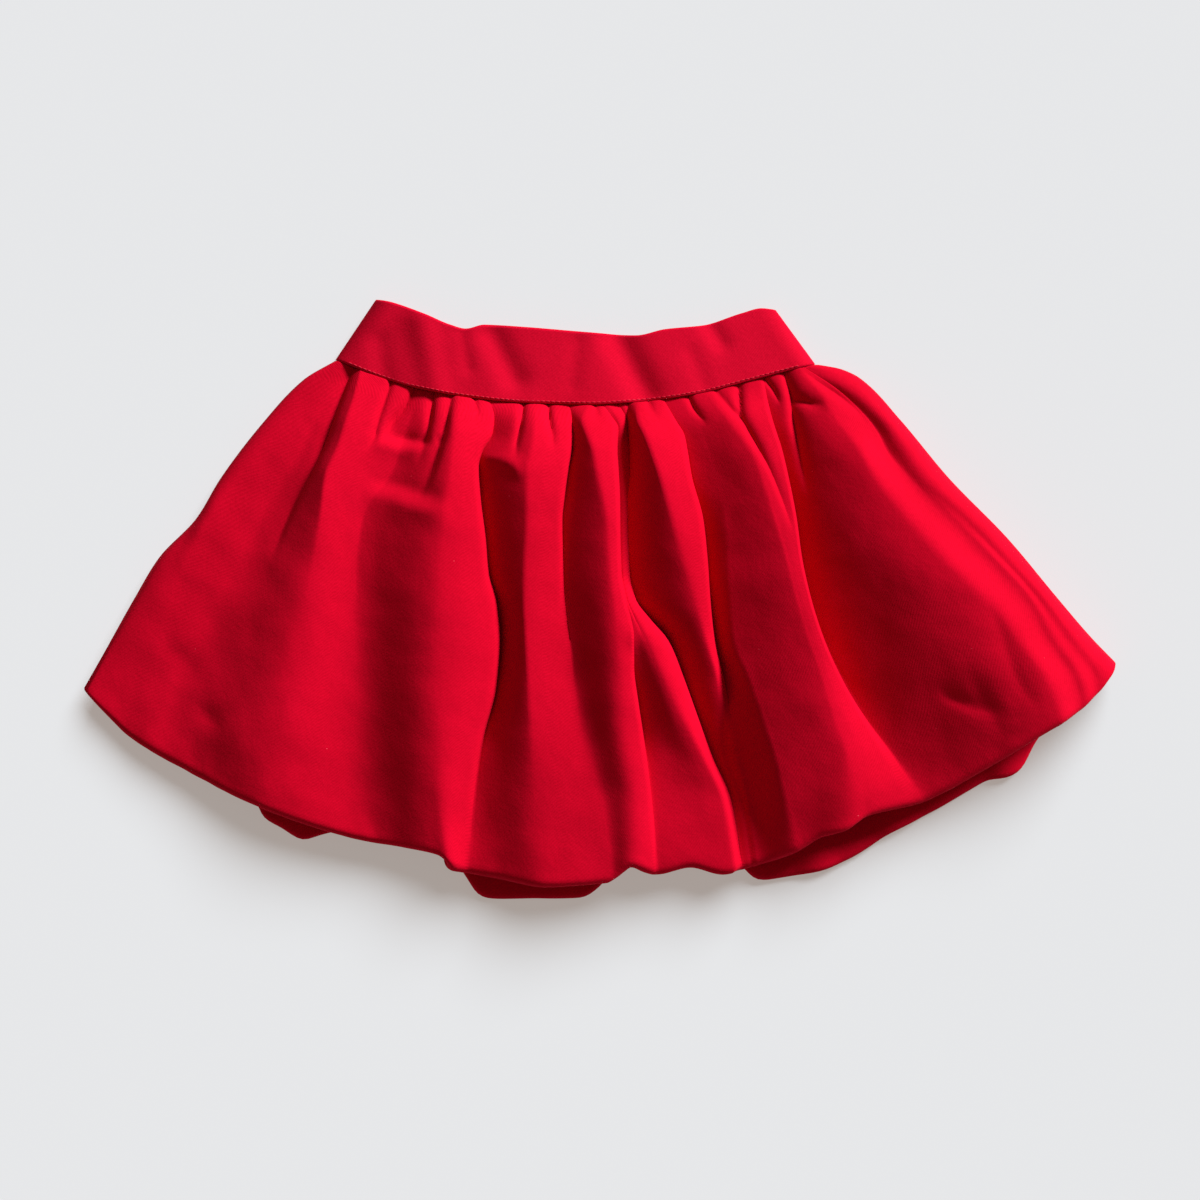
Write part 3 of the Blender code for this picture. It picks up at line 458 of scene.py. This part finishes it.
def front_surface(shares):
    """Middle of the front panel's wall: one row per share of the way down."""
    left, right = side_line(LEFT_SIDE, shares), side_line(RIGHT_SIDE, shares)
    lines = [left[:, (0, 2)]]
    for fold in FRONT_FOLDS:
        path = np.array(fold.path, float)
        down = share_down(path)
        lines.append(np.stack([smooth(shares, down, path[:, k]) for k in (0, 2)], 1))
    lines.append(right[:, (0, 2)])
    lines = np.array(lines)
    columns = lane_columns(lines[:, :, 0], FRONT_COLUMNS)
    lane = np.minimum(columns.astype(int), len(lines) - 2)
    across = columns - lane
    crisp = np.array([crispness(fold, shares) for fold in FRONT_FOLDS])
    grid = np.zeros((len(shares), len(columns), 3))
    for column, (k, t) in enumerate(zip(lane, across)):
        if k == 0:
            climb = np.sqrt(1 - (1 - t) ** 2)
        elif k == len(FRONT_FOLDS):
            climb = 1 - np.sqrt(1 - t ** 2)
        else:
            climb = climb_share(crisp[k - 1], crisp[k], t)
            if FRONT_FOLDS[k].kind == "valley":
                width, drop = np.abs(lines[k + 1] - lines[k]).T
                along, fall = hanging_fold(crisp[k - 1], t, width, drop)
                climb = climb + (fall - climb) * crisp[k]
                t = t + (along - t) * crisp[k]
        start, end = lines[k], lines[k + 1]
        grid[:, column, 0] = start[:, 0] + (end[:, 0] - start[:, 0]) * t
        grid[:, column, 2] = start[:, 1] + (end[:, 1] - start[:, 1]) * climb
    seam_y = edge_y(SEAM, grid[0, :, 0])
    hem_y = edge_y(FRONT_HEM, grid[-1, :, 0])
    grid[:, :, 1] = seam_y + np.outer(shares, hem_y - seam_y)
    return grid


def dress_front(grid):
    """Gathers, tucks, creases and unevenness of the front panel."""
    flat = grid[:, :, :2]
    inward = side_share(grid, SIDE_CALM)
    press = sum(crease_depth(flat, crease) for crease in GATHERS + CROSS_CREASES)
    hills = sum(uneven(flat, swell) for swell in FRONT_SWELLS)
    grid[:, :, 2] += (hills - press) * inward
    return grid


def side_share(grid, width):
    """0 on both side seams, 1 from the width inwards."""
    to_left = np.linalg.norm(grid - grid[:, :1], axis=2)
    to_right = np.linalg.norm(grid - grid[:, -1:], axis=2)
    return ease(np.minimum(to_left, to_right) / width)


def hem_points(edge, count):
    """Points evenly far apart along a hem outline."""
    corners = np.array(edge, float)
    reach = np.concatenate([[0], np.cumsum(np.linalg.norm(np.diff(corners, axis=0), axis=1))])
    at = np.linspace(0, reach[-1], count)
    return np.stack([np.interp(at, reach, corners[:, k]) for k in (0, 1)], 1)


def back_surface(shares):
    """Middle of the back panel's wall, flat on the surface but for its pleats."""
    hem = smooth_line(hem_points(BACK_HEM, BACK_COLUMNS), HEM_ROUNDING)
    across = (hem[:, 0] - hem[0, 0]) / (hem[-1, 0] - hem[0, 0])
    top_x = SEAM[0].x + (SEAM[-1].x - SEAM[0].x) * across
    top = np.stack([top_x, edge_y(SEAM, top_x)], 1)
    grid = np.zeros((len(shares), len(hem), 3))
    down = shares[:, None, None]
    grid[:, :, :2] = (1 - down) * top + down * hem
    sides = ((0, side_line(LEFT_SIDE, shares)), (-1, side_line(RIGHT_SIDE, shares)))
    for column, side in sides:
        pull = np.abs(across - across[-1 - column]) ** BOW_FADE
        bow = side[:, :2] - grid[:, column, :2]
        grid[:, :, :2] += bow[:, None, :] * pull[None, :, None]
    rise = np.zeros(grid.shape[:2])
    for pleat in BACK_PLEATS:
        middle = pleat.waist_x + (pleat.hem_x - pleat.waist_x) * shares[:, None]
        away = np.clip(np.abs(grid[:, :, 0] - middle) / pleat.width, 0, 1)
        rise = np.maximum(rise, pleat.height * (1 - away ** 2) ** 2)
    fade_in = ease(shares / PLEAT_RISE)[:, None]
    fall = ease((shares - PLEAT_FALL) / (1 - PLEAT_FALL))[:, None]
    grid[:, :, 2] = CLOTH / 2 + rise * fade_in * (1 - (1 - PLEAT_HEM) * fall)
    for _, side in sides:
        away = np.linalg.norm(grid[:, :, :2] - side[:, None, :2], axis=2)
        margin = BACK_ROUND_TOP + (BACK_ROUND - BACK_ROUND_TOP) * shares[:, None]
        turn = 1 - np.sqrt(1 - np.clip(1 - away / margin, 0, 1) ** 2)
        edge = side[:, None, 2]
        grid[:, :, 2] += (edge - grid[:, :, 2]) * turn
    return grid


def smooth_line(points, passes):
    """A line with its corners rounded, its two ends kept."""
    line = points.copy()
    for _ in range(passes):
        line[1:-1] = (line[:-2] + 2 * line[1:-1] + line[2:]) / 4
    return line


def band_surface(rise, is_front):
    """Middle of a waistband wall, from its top edge down to the seam."""
    across = np.linspace(0, 1, BAND_COLUMNS)
    across = across - SIDE_CROWD * np.sin(2 * np.pi * across) / (2 * np.pi)
    top_x = BAND_TOP[0].x + (BAND_TOP[-1].x - BAND_TOP[0].x) * across
    foot_x = SEAM[0].x + (SEAM[-1].x - SEAM[0].x) * across
    top = np.stack([top_x, edge_y(BAND_TOP, top_x)], 1)
    foot = np.stack([foot_x, edge_y(SEAM, foot_x) + SEAM_GAP], 1)
    shares = np.linspace(0, 1, BAND_ROWS)
    grid = np.zeros((BAND_ROWS, BAND_COLUMNS, 3))
    down = shares[:, None, None]
    grid[:, :, :2] = (1 - down) * top + down * foot
    grid[:, :, 2] = rise
    if is_front:
        grid[:, :, 2] += BAND_TWIST * np.outer(1 - shares, 1 - 2 * across)
        for hollow in BAND_HOLLOWS:
            grid[:, :, 2] -= hollow_depth(grid[:, :, :2], hollow)
        hills = uneven(grid[:, :, :2], BAND_SWELL)
        grid[:, :, 2] += hills * side_share(grid, BAND_CALM)
    to_side = np.minimum(grid[:, :, 0] - grid[:, :1, 0], grid[:, -1:, 0] - grid[:, :, 0])
    turn = 1 - np.sqrt(1 - np.clip(1 - to_side / BAND_ROUND, 0, 1) ** 2)
    grid[:, :, 2] += (SIDE_TOP - grid[:, :, 2]) * turn
    return grid


def hollow_depth(points, hollow):
    """Depth of one soft hollow at each point of the band."""
    start = np.array([hollow.x, hollow.y], float)
    run = np.array([hollow.to_x, hollow.to_y], float) - start
    along = np.clip(((points - start) @ run) / (run @ run), 0, 1)
    nearest = start + along[..., None] * run
    away = np.linalg.norm(points - nearest, axis=-1)
    return hollow.depth * np.exp(-(away / hollow.width) ** 2)


# ---------------------------------------------------------------- walls
def wall_normals(grid, upward, flat_ends):
    """Outward direction at each point, level at the sides and square at the ends."""
    down = np.gradient(grid, axis=0)
    across = np.gradient(grid, axis=1)
    normal = unit(np.cross(across, down) * (-1 if upward else 1))
    for side, outward in ((0, -1), (-1, 1)):
        edge = np.gradient(grid[:, side, :2], axis=0)
        normal[:, side, 0] = outward * np.abs(edge[:, 1])
        normal[:, side, 1] = np.abs(edge[:, 0])
        normal[:, side, 2] = 0
    for end in flat_ends:
        along = unit(across[end, :, :2])
        level = np.sum(normal[end, :, :2] * along, axis=1, keepdims=True)
        normal[end, :, :2] = level * along
    return unit(normal)


def roll_hem(grid, normals, radius):
    """Add the rolled hem and the cloth that runs back up inside."""
    outward = unit((grid[-1] - grid[-1 - HEM_SPAN]) * [1, 1, ROLL_TILT])
    outward = smooth_across(outward, HEM_CALM)
    outward = unit(outward - normals[-1] * np.sum(outward * normals[-1], 1, keepdims=True))
    distance = np.linalg.norm(grid[1:] - grid[:-1], axis=2)[::-1].cumsum(axis=0)[::-1]
    distance = np.vstack([distance, np.zeros(grid.shape[1])])
    pull = np.clip(1 - distance / (ROLL_EASE * radius), 0, 1) ** 2
    rows = list(grid - outward * (radius * pull)[:, :, None])
    turns = list(normals)
    edge, square = rows[-1], normals[-1]
    for k in range(1, ROLL_ROWS + 1):
        angle = np.pi * k / ROLL_ROWS
        lean = square * np.cos(angle) + outward * np.sin(angle)
        rows.append(edge + (lean - square) * radius[:, None])
        turns.append(lean)
    calm = smooth_across(normals, HEM_CALM)
    for k in range(1, RETURN_ROWS + 1):
        back = RETURN * k / RETURN_ROWS * np.clip(radius / FRONT_ROLL, LEAST_RETURN, 1)
        spot, square = walk_back(grid, calm, distance, back + radius)
        rows.append(spot - square * (2 * radius)[:, None])
        turns.append(-square)
    return np.array(rows), np.array(turns)


def smooth_across(directions, passes):
    """Directions averaged over their neighbours across the panel."""
    calm = directions.copy()
    for _ in range(passes):
        calm[..., 1:-1, :] = calm[..., :-2, :] + 2 * calm[..., 1:-1, :] + calm[..., 2:, :]
        calm = unit(calm)
    return calm


def walk_back(grid, normals, distance, back):
    """Point and normal of each column, this far up from the hem."""
    columns = range(grid.shape[1])
    spot = np.array([[np.interp(-back[c], -distance[:, c], grid[:, c, k]) for k in range(3)]
                     for c in columns])
    turn = np.array([[np.interp(-back[c], -distance[:, c], normals[:, c, k])
                      for k in range(3)] for c in columns])
    return spot, unit(turn)


def roll_radius(grid, widest):
    """Radius of the hem roll along the hem: tight at both side seams."""
    hem = grid[-1]
    to_left = np.linalg.norm(hem - hem[0], axis=1)
    to_right = np.linalg.norm(hem - hem[-1], axis=1)
    share = ease(np.minimum(to_left, to_right) / ROLL_TAPER)
    return CORNER_ROLL + (widest - CORNER_ROLL) * share


def cloth_lengths(grid):
    """Lengths along the cloth, across from its middle and down from its top, in metres."""
    across = np.linalg.norm(np.diff(grid, axis=1), axis=2)
    u = np.concatenate([np.zeros((len(grid), 1)), np.cumsum(across, axis=1)], 1)
    u -= u[:, u.shape[1] // 2][:, None]
    down = np.linalg.norm(np.diff(grid, axis=0), axis=2)
    v = np.concatenate([np.zeros((1, grid.shape[1])), np.cumsum(down, axis=0)], 0)
    return np.stack([u, -v], 2) * MM


def wall_mesh(name, grid, normals, thickness):
    """Closed wall of cloth around a grid of points, with its cloth lengths as UV."""
    outer = grid + normals * thickness / 2
    inner = grid - normals * thickness / 2
    rows, columns = grid.shape[:2]
    points = (np.concatenate([outer.reshape(-1, 3), inner.reshape(-1, 3)]) + SHIFT) * MM
    lengths = cloth_lengths(grid).reshape(-1, 2)
    lengths = np.concatenate([lengths, lengths])
    number = np.arange(rows * columns).reshape(rows, columns)
    back = number + rows * columns
    front = np.stack([number[:-1, :-1], number[1:, :-1], number[1:, 1:], number[:-1, 1:]], 2)
    behind = np.stack([back[:-1, :-1], back[:-1, 1:], back[1:, 1:], back[1:, :-1]], 2)
    ring = np.concatenate([number[0, :], number[1:, -1], number[-1, -2::-1], number[-2:0:-1, 0]])
    there = np.roll(ring, -1)
    shift = rows * columns
    rim = np.stack([ring, there, there + shift, ring + shift], 1)
    faces = np.concatenate([front.reshape(-1, 4), behind.reshape(-1, 4), rim])
    mesh = bpy.data.meshes.new(name)
    mesh.from_pydata(points.tolist(), [], faces.tolist())
    layer = mesh.uv_layers.new(name="cloth")
    layer.data.foreach_set("uv", lengths[faces.ravel()].ravel())
    mesh.validate()
    mesh.shade_smooth()
    return mesh


def row_shares(rows):
    """Rows down a panel, closer together at the gathers."""
    return np.linspace(0, 1, rows) ** ROW_CROWD


# ---------------------------------------------------------------- materials
SKIRT_REDS = ((0.445, 0.0004, 0.011), (0.59, 0.0010, 0.019))    # deepest and brightest
# The band is the same twill as the skirt; its reds are painted lighter, standing for the stronger
# light on the flat band.
BAND_REDS_PAINTED_LIGHTER = ((0.51, 0.0012, 0.016), (0.66, 0.0026, 0.026))
THREAD_RED = (0.66, 0.006, 0.036)
THREAD_SHADE = 0.6          # brightness of the painted shade between the thread's twists
SPECK_RED = (0.85, 0.10, 0.14)
SPECK_SIZE = 0.035          # radius of a speck, as a share of the way to the next place
SPECK_RARITY = 0.8          # share of those places that stay without one
RIB_SCALE = 260.0           # scale of the twill's wave texture, on lengths in metres
RIB_TURN = 0.85             # radians that the ribs are turned on the cloth
DYE_SHARE = 0.45            # weight of the uneven dye beside the weave and the nap

# Sockets of a mix node, by number because its A, B and result go by the same names
FLOAT_A, FLOAT_B = 2, 3
COLOUR_A, COLOUR_B, COLOUR_RESULT = 6, 7, 2


def new_material(name, roughness, specular):
    """New material, with its node tree and its shader."""
    material = bpy.data.materials.new(name)
    material.use_nodes = True
    shader = material.node_tree.nodes["Principled BSDF"]
    shader.inputs["Roughness"].default_value = roughness
    shader.inputs["Specular IOR Level"].default_value = specular
    return material, material.node_tree, shader


def add_node(tree, kind, links=(), **settings):
    """New shader node with its settings, its inputs' values and what is linked into it."""
    node = tree.nodes.new(kind)
    for key, value in settings.items():
        if key in node.inputs:
            node.inputs[key].default_value = value
        else:
            setattr(node, key, value)
    for socket, source in dict(links).items():
        tree.links.new(source, node.inputs[socket])
    return node


def noise(tree, place, scale, detail, roughness=0.5):
    """Noise over a place, from 0 to 1."""
    node = add_node(tree, "ShaderNodeTexNoise", {"Vector": place}, Scale=scale, Detail=detail,
                    Roughness=roughness)
    return node.outputs["Fac"]


def mixed(tree, first, second, share):
    """The first value with this share of the second."""
    node = add_node(tree, "ShaderNodeMix", {FLOAT_A: first, FLOAT_B: second},
                    data_type="FLOAT", Factor=share)
    return node.outputs[0]


def reckoned(tree, operation, *values):
    """Result of a math node, each of whose values is a socket or a number."""
    node = add_node(tree, "ShaderNodeMath", operation=operation)
    for socket, value in zip(node.inputs, values):
        if isinstance(value, float):
            socket.default_value = value
        else:
            tree.links.new(value, socket)
    return node.outputs[0]


def ramp(tree, factor, dark_at, dark, light_at, light):
    """Colour that runs from dark to light as the factor grows."""
    node = add_node(tree, "ShaderNodeValToRGB", {"Fac": factor})
    ends = ((dark_at, dark), (light_at, light))
    for element, (position, colour) in zip(node.color_ramp.elements, ends):
        element.position = position
        element.color = (*colour, 1)
    return node.outputs["Color"]


def bumped(tree, height, strength, distance, links=()):
    """Normal of the surface where a height raises it, by up to this distance."""
    node = add_node(tree, "ShaderNodeBump", {"Height": height, **dict(links)},
                    Strength=strength, Distance=distance)
    return node.outputs["Normal"]


def twill(name, deep, bright):
    """Brushed cotton twill: fine slanting ribs, a soft nap, and slightly uneven dye."""
    material, tree, shader = new_material(name, roughness=0.9, specular=0.03)
    shader.inputs["Sheen Weight"].default_value = 0.03
    shader.inputs["Sheen Roughness"].default_value = 0.42
    shader.inputs["Sheen Tint"].default_value = (1.0, 0.12, 0.25, 1)
    lengths = add_node(tree, "ShaderNodeUVMap", uv_map="cloth").outputs["UV"]
    place = add_node(tree, "ShaderNodeTexCoord").outputs["Object"]
    turned = add_node(tree, "ShaderNodeMapping", {"Vector": lengths}, Rotation=(0, 0, RIB_TURN))
    ribs = add_node(tree, "ShaderNodeTexWave", {"Vector": turned.outputs["Vector"]},
                    wave_type="BANDS", wave_profile="SIN", Scale=RIB_SCALE, Distortion=1.4,
                    Detail=2.0)
    ribs.inputs["Detail Scale"].default_value = 2.2
    slubs = noise(tree, lengths, scale=1500.0, detail=3.0, roughness=0.62)
    nap = noise(tree, place, scale=520.0, detail=4.0, roughness=0.65)
    dye = noise(tree, place, scale=26.0, detail=3.0, roughness=0.55)
    grain = mixed(tree, ribs.outputs["Fac"], slubs, share=0.55)
    fuzz = mixed(tree, grain, nap, share=0.5)
    shade = reckoned(tree, "MULTIPLY_ADD", dye, DYE_SHARE, fuzz)
    red = ramp(tree, shade, dark_at=0.42, dark=deep, light_at=1.0, light=bright)

    specks = add_node(tree, "ShaderNodeTexVoronoi", {"Vector": lengths}, Scale=150.0,
                      Randomness=1.0)
    small = reckoned(tree, "LESS_THAN", specks.outputs["Distance"], SPECK_SIZE)
    rare = reckoned(tree, "GREATER_THAN", specks.outputs["Color"], SPECK_RARITY)
    speck = reckoned(tree, "MULTIPLY", small, rare)
    speckled = add_node(tree, "ShaderNodeMix", {"Factor": speck, COLOUR_A: red},
                        data_type="RGBA")
    speckled.inputs[COLOUR_B].default_value = (*SPECK_RED, 1)
    tree.links.new(speckled.outputs[COLOUR_RESULT], shader.inputs["Base Color"])

    woven = bumped(tree, grain, strength=0.35, distance=0.00022)
    napped = bumped(tree, nap, strength=0.30, distance=0.0005, links={"Normal": woven})
    tree.links.new(napped, shader.inputs["Normal"])
    return material


def thread_material(name, colour):
    """Twisted sewing thread, a little shinier than the cloth."""
    material, tree, shader = new_material(name, roughness=0.6, specular=0.3)
    place = add_node(tree, "ShaderNodeTexCoord").outputs["Object"]
    twist = noise(tree, place, scale=2400.0, detail=2.0)
    # painted shade: the thread is darker where its twists dip, where the bump below sinks
    shaded = [THREAD_SHADE * part for part in colour]
    red = ramp(tree, twist, dark_at=0.35, dark=shaded, light_at=0.65, light=colour)
    tree.links.new(red, shader.inputs["Base Color"])
    twisted = bumped(tree, twist, strength=0.4, distance=0.0001)
    tree.links.new(twisted, shader.inputs["Normal"])
    return material


# ---------------------------------------------------------------- pieces
def add_piece(name, mesh, material, nodes=()):
    """Put one piece into the scene, riding on the skirt's only body."""
    mesh.materials.append(material)
    piece = bpy.data.objects.new(name, mesh)
    bpy.context.scene.collection.objects.link(piece)
    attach(piece, "root")
    if nodes:
        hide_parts(*nodes)
    return piece


def make_front_shell(material):
    """Front skirt panel with its folds, gathers and rolled hem."""
    grid = dress_front(front_surface(row_shares(FRONT_ROWS)))
    grid[:, (0, -1), 2] += SEAM_GAP / 2
    normals = wall_normals(grid, True, (0,))
    grid, normals = roll_hem(grid, normals, roll_radius(grid, FRONT_ROLL))
    mesh = wall_mesh("front_panel", grid, normals, CLOTH)
    return add_piece("front_panel", mesh, material, ("shell_front",))


def make_back_shell(material):
    """Back skirt panel, flat underneath, with its rolled hem."""
    grid = back_surface(row_shares(BACK_ROWS))
    grid[:, (0, -1), 2] -= SEAM_GAP / 2
    normals = wall_normals(grid, False, (0,))
    grid, normals = roll_hem(grid, normals, roll_radius(grid, BACK_ROLL))
    grid[:, :, 2] = np.maximum(grid[:, :, 2], CLOTH / 2)
    mesh = wall_mesh("back_panel", grid[:, ::-1], normals[:, ::-1], CLOTH)
    return add_piece("back_panel", mesh, material, ("shell_back",))


def make_band(name, node, rise, upward, material):
    """One half of the waistband."""
    grid = band_surface(rise, upward)
    grid[:, (0, -1), 2] += SEAM_GAP / 2 if upward else -SEAM_GAP / 2
    normals = wall_normals(grid, upward, (0, -1))
    if not upward:
        grid, normals = grid[:, ::-1], normals[:, ::-1]
    mesh = wall_mesh(name, grid, normals, BAND_CLOTH)
    return add_piece(name, mesh, material, (node,))


# ---------------------------------------------------------------- topstitch
STITCH_PITCH = 2.5
STITCH_LENGTH = 1.9
STITCH_RADIUS = 0.24
STITCH_ABOVE_SEAM = 1.35
STITCH_MARGIN = 6.0         # from a side seam to the end of the row
STITCH_LIFT = 0.10          # middle of the thread above the band
STITCH_TIP = 0.12           # share of a half round that is cut off at each end of a stitch
STITCH_BLUNT = 0.6          # below 1 the ends are blunter than a half round
STITCH_LOOK = 0.5           # the thread's direction is read over this length
STITCH_SIDES = 6
STITCH_RINGS = 5
ROW_POINTS = 900            # points along the band that the row is laid through


def band_point(x, above_seam):
    """Point on the front band's upper face, above the seam at x."""
    y = edge_y(SEAM, x) + above_seam
    height = BAND_RISE + BAND_CLOTH / 2
    spot = np.stack([x, y], -1)
    for hollow in BAND_HOLLOWS:
        height = height - hollow_depth(spot, hollow)
    return np.concatenate([spot, np.broadcast_to(height, y.shape)[..., None]], -1)


def stitch_points(line, reach, start):
    """Rings of points around one stitch, which starts this far along the row."""
    points = []
    for share in np.linspace(0, 1, STITCH_RINGS):
        at = start + STITCH_LENGTH * share
        middle = np.array([np.interp(at, reach, line[:, axis]) for axis in range(3)])
        ahead = np.array([np.interp(at + STITCH_LOOK, reach, line[:, axis])
                          for axis in range(3)])
        along = unit(ahead - middle)
        side = unit(np.cross(along, [0, 0, 1]))
        up = np.cross(side, along)
        bulge = np.sin(np.pi * (STITCH_TIP + (1 - 2 * STITCH_TIP) * share))
        radius = STITCH_RADIUS * bulge ** STITCH_BLUNT
        middle = middle + up * STITCH_LIFT
        for turn in np.linspace(0, 2 * np.pi, STITCH_SIDES, endpoint=False):
            points.append(middle + radius * (side * np.cos(turn) + up * np.sin(turn)))
    return points


def stitch_faces(base):
    """Faces of one stitch, a closed bead whose first point has this number."""
    faces = []
    for ring in range(STITCH_RINGS - 1):
        for turn in range(STITCH_SIDES):
            here = base + ring * STITCH_SIDES + turn
            beside = base + ring * STITCH_SIDES + (turn + 1) % STITCH_SIDES
            faces.append((here, beside, beside + STITCH_SIDES, here + STITCH_SIDES))
    last = base + (STITCH_RINGS - 1) * STITCH_SIDES
    faces.append(tuple(base + turn for turn in reversed(range(STITCH_SIDES))))
    faces.append(tuple(last + turn for turn in range(STITCH_SIDES)))
    return faces


def make_topstitch(material):
    """One row of short stitches just above the seam, each a small round bead of thread."""
    along = np.linspace(SEAM[0].x + STITCH_MARGIN, SEAM[-1].x - STITCH_MARGIN, ROW_POINTS)
    line = band_point(along, STITCH_ABOVE_SEAM)
    reach = np.concatenate([[0], np.cumsum(np.linalg.norm(np.diff(line, axis=0), axis=1))])
    points, faces = [], []
    for k in range(int(reach[-1] / STITCH_PITCH)):
        faces += stitch_faces(len(points))
        points += stitch_points(line, reach, k * STITCH_PITCH)
    mesh = bpy.data.meshes.new("topstitch")
    mesh.from_pydata(((np.array(points) + SHIFT) * MM).tolist(), [], faces)
    mesh.validate()
    mesh.shade_smooth()
    return add_piece("topstitch", mesh, material)


# ---------------------------------------------------------------- setting
FRAME_WIDTH = 0.588         # metres across the picture at the skirt, 1200 pixels of 0.49 mm
FOCUS_HEIGHT = 0.02         # metres above the surface, where the outline was measured
LENS = 85.0                 # millimetres, as the sensor's width
SENSOR = 36.0

# A sun's azimuth runs from +X towards +Y.  Its angles are in degrees, and its strength is
# the light on a level surface, with the fill counted in.
Sun = namedtuple("Sun", "azimuth elevation spread strength")

CLOTH_SUN = Sun(42.0, 22.0, 16.0, 1.0)
FLOOR_SUN = Sun(65.0, 38.0, 40.0, 2.0)
FILL = 0.20                 # light that comes from all round
FILL_TINT = (1.0, 0.80, 0.74)       # the fill is warm with light that the cloth gives back

PALE = (0.795, 0.802, 0.816)        # the floor's colour
FLOOR_SHADOW = (0.56, 0.61, 0.65)   # share of the floor's light that a shadow can take away
FLOOR_HALF = 30.0                   # metres from its middle to a side


def make_camera():
    """Camera straight above the skirt."""
    data = bpy.data.cameras.new("camera")
    data.lens = LENS
    data.sensor_width = SENSOR
    camera = bpy.data.objects.new("camera", data)
    camera.location = (0, 0, FRAME_WIDTH * LENS / SENSOR + FOCUS_HEIGHT)
    bpy.context.scene.collection.objects.link(camera)
    bpy.context.scene.camera = camera


def add_sun(name, settings):
    """Broad distant light, which with the fill gives a level surface its strength."""
    azimuth, elevation = np.radians(settings.azimuth), np.radians(settings.elevation)
    data = bpy.data.lights.new(name, "SUN")
    data.angle = np.radians(settings.spread)
    wanted = [settings.strength - FILL * tint for tint in FILL_TINT]
    # a sun of energy pi gives a surface that faces it a light of 1
    data.energy = max(wanted) * np.pi / np.sin(elevation)
    data.color = [part / max(wanted) for part in wanted]
    sun = bpy.data.objects.new(name, data)
    towards = Vector((np.cos(azimuth) * np.cos(elevation),
                      np.sin(azimuth) * np.cos(elevation), np.sin(elevation)))
    sun.rotation_euler = (-towards).to_track_quat("-Z", "Y").to_euler()
    bpy.context.scene.collection.objects.link(sun)
    return sun


def make_light(cloth, floor):
    """A raking light for the cloth, a higher and softer one for the floor, and a fill."""
    for name, lit, settings in (("key", cloth, CLOTH_SUN), ("floor_key", [floor], FLOOR_SUN)):
        receivers = bpy.data.collections.new(name)
        for thing in lit:
            receivers.objects.link(thing)
        add_sun(name, settings).light_linking.receiver_collection = receivers
    world = bpy.data.worlds.new("fill")
    world.use_nodes = True
    background = world.node_tree.nodes["Background"]
    background.inputs["Color"].default_value = (*FILL_TINT, 1)
    background.inputs["Strength"].default_value = FILL
    bpy.context.scene.world = world


def set_colour():
    """Plain colour management, so that the reds stay pure."""
    bpy.context.scene.view_settings.view_transform = "Standard"


def make_floor():
    """Plain pale floor, with part of its light its own so that shadows on it stay soft."""
    mesh = bpy.data.meshes.new("floor")
    corners = [(x * FLOOR_HALF, y * FLOOR_HALF, 0) for x, y in ((-1, -1), (1, -1), (1, 1), (-1, 1))]
    mesh.from_pydata(corners, [], [(0, 1, 2, 3)])
    material, _, shader = new_material("pale_floor", roughness=1.0, specular=0.0)
    lit = [part * share / FLOOR_SUN.strength for part, share in zip(PALE, FLOOR_SHADOW)]
    shader.inputs["Base Color"].default_value = (*lit, 1)
    own = [part * (1 - share) for part, share in zip(PALE, FLOOR_SHADOW)]
    shader.inputs["Emission Color"].default_value = (*own, 1)
    shader.inputs["Emission Strength"].default_value = 1.0
    mesh.materials.append(material)
    floor = bpy.data.objects.new("floor", mesh)
    bpy.context.scene.collection.objects.link(floor)
    return floor


def main():
    """Build the skirt and its setting."""
    make_camera()
    set_colour()
    floor = make_floor()
    skirt = twill("skirt_twill_look", *SKIRT_REDS)
    # the band's copy of the twill is painted lighter than the skirt's, as painted light
    band = twill("band_twill_painted_lighter", *BAND_REDS_PAINTED_LIGHTER)
    thread = thread_material("red_thread", THREAD_RED)
    front_band = make_band("front_band", "waistband_front", BAND_RISE, True, band)
    back_band = make_band("back_band", "waistband_back", BAND_CLOTH / 2, False, band)
    front = make_front_shell(skirt)
    back = make_back_shell(skirt)
    stitches = make_topstitch(thread)
    make_light([front_band, back_band, front, back, stitches], floor)


main()
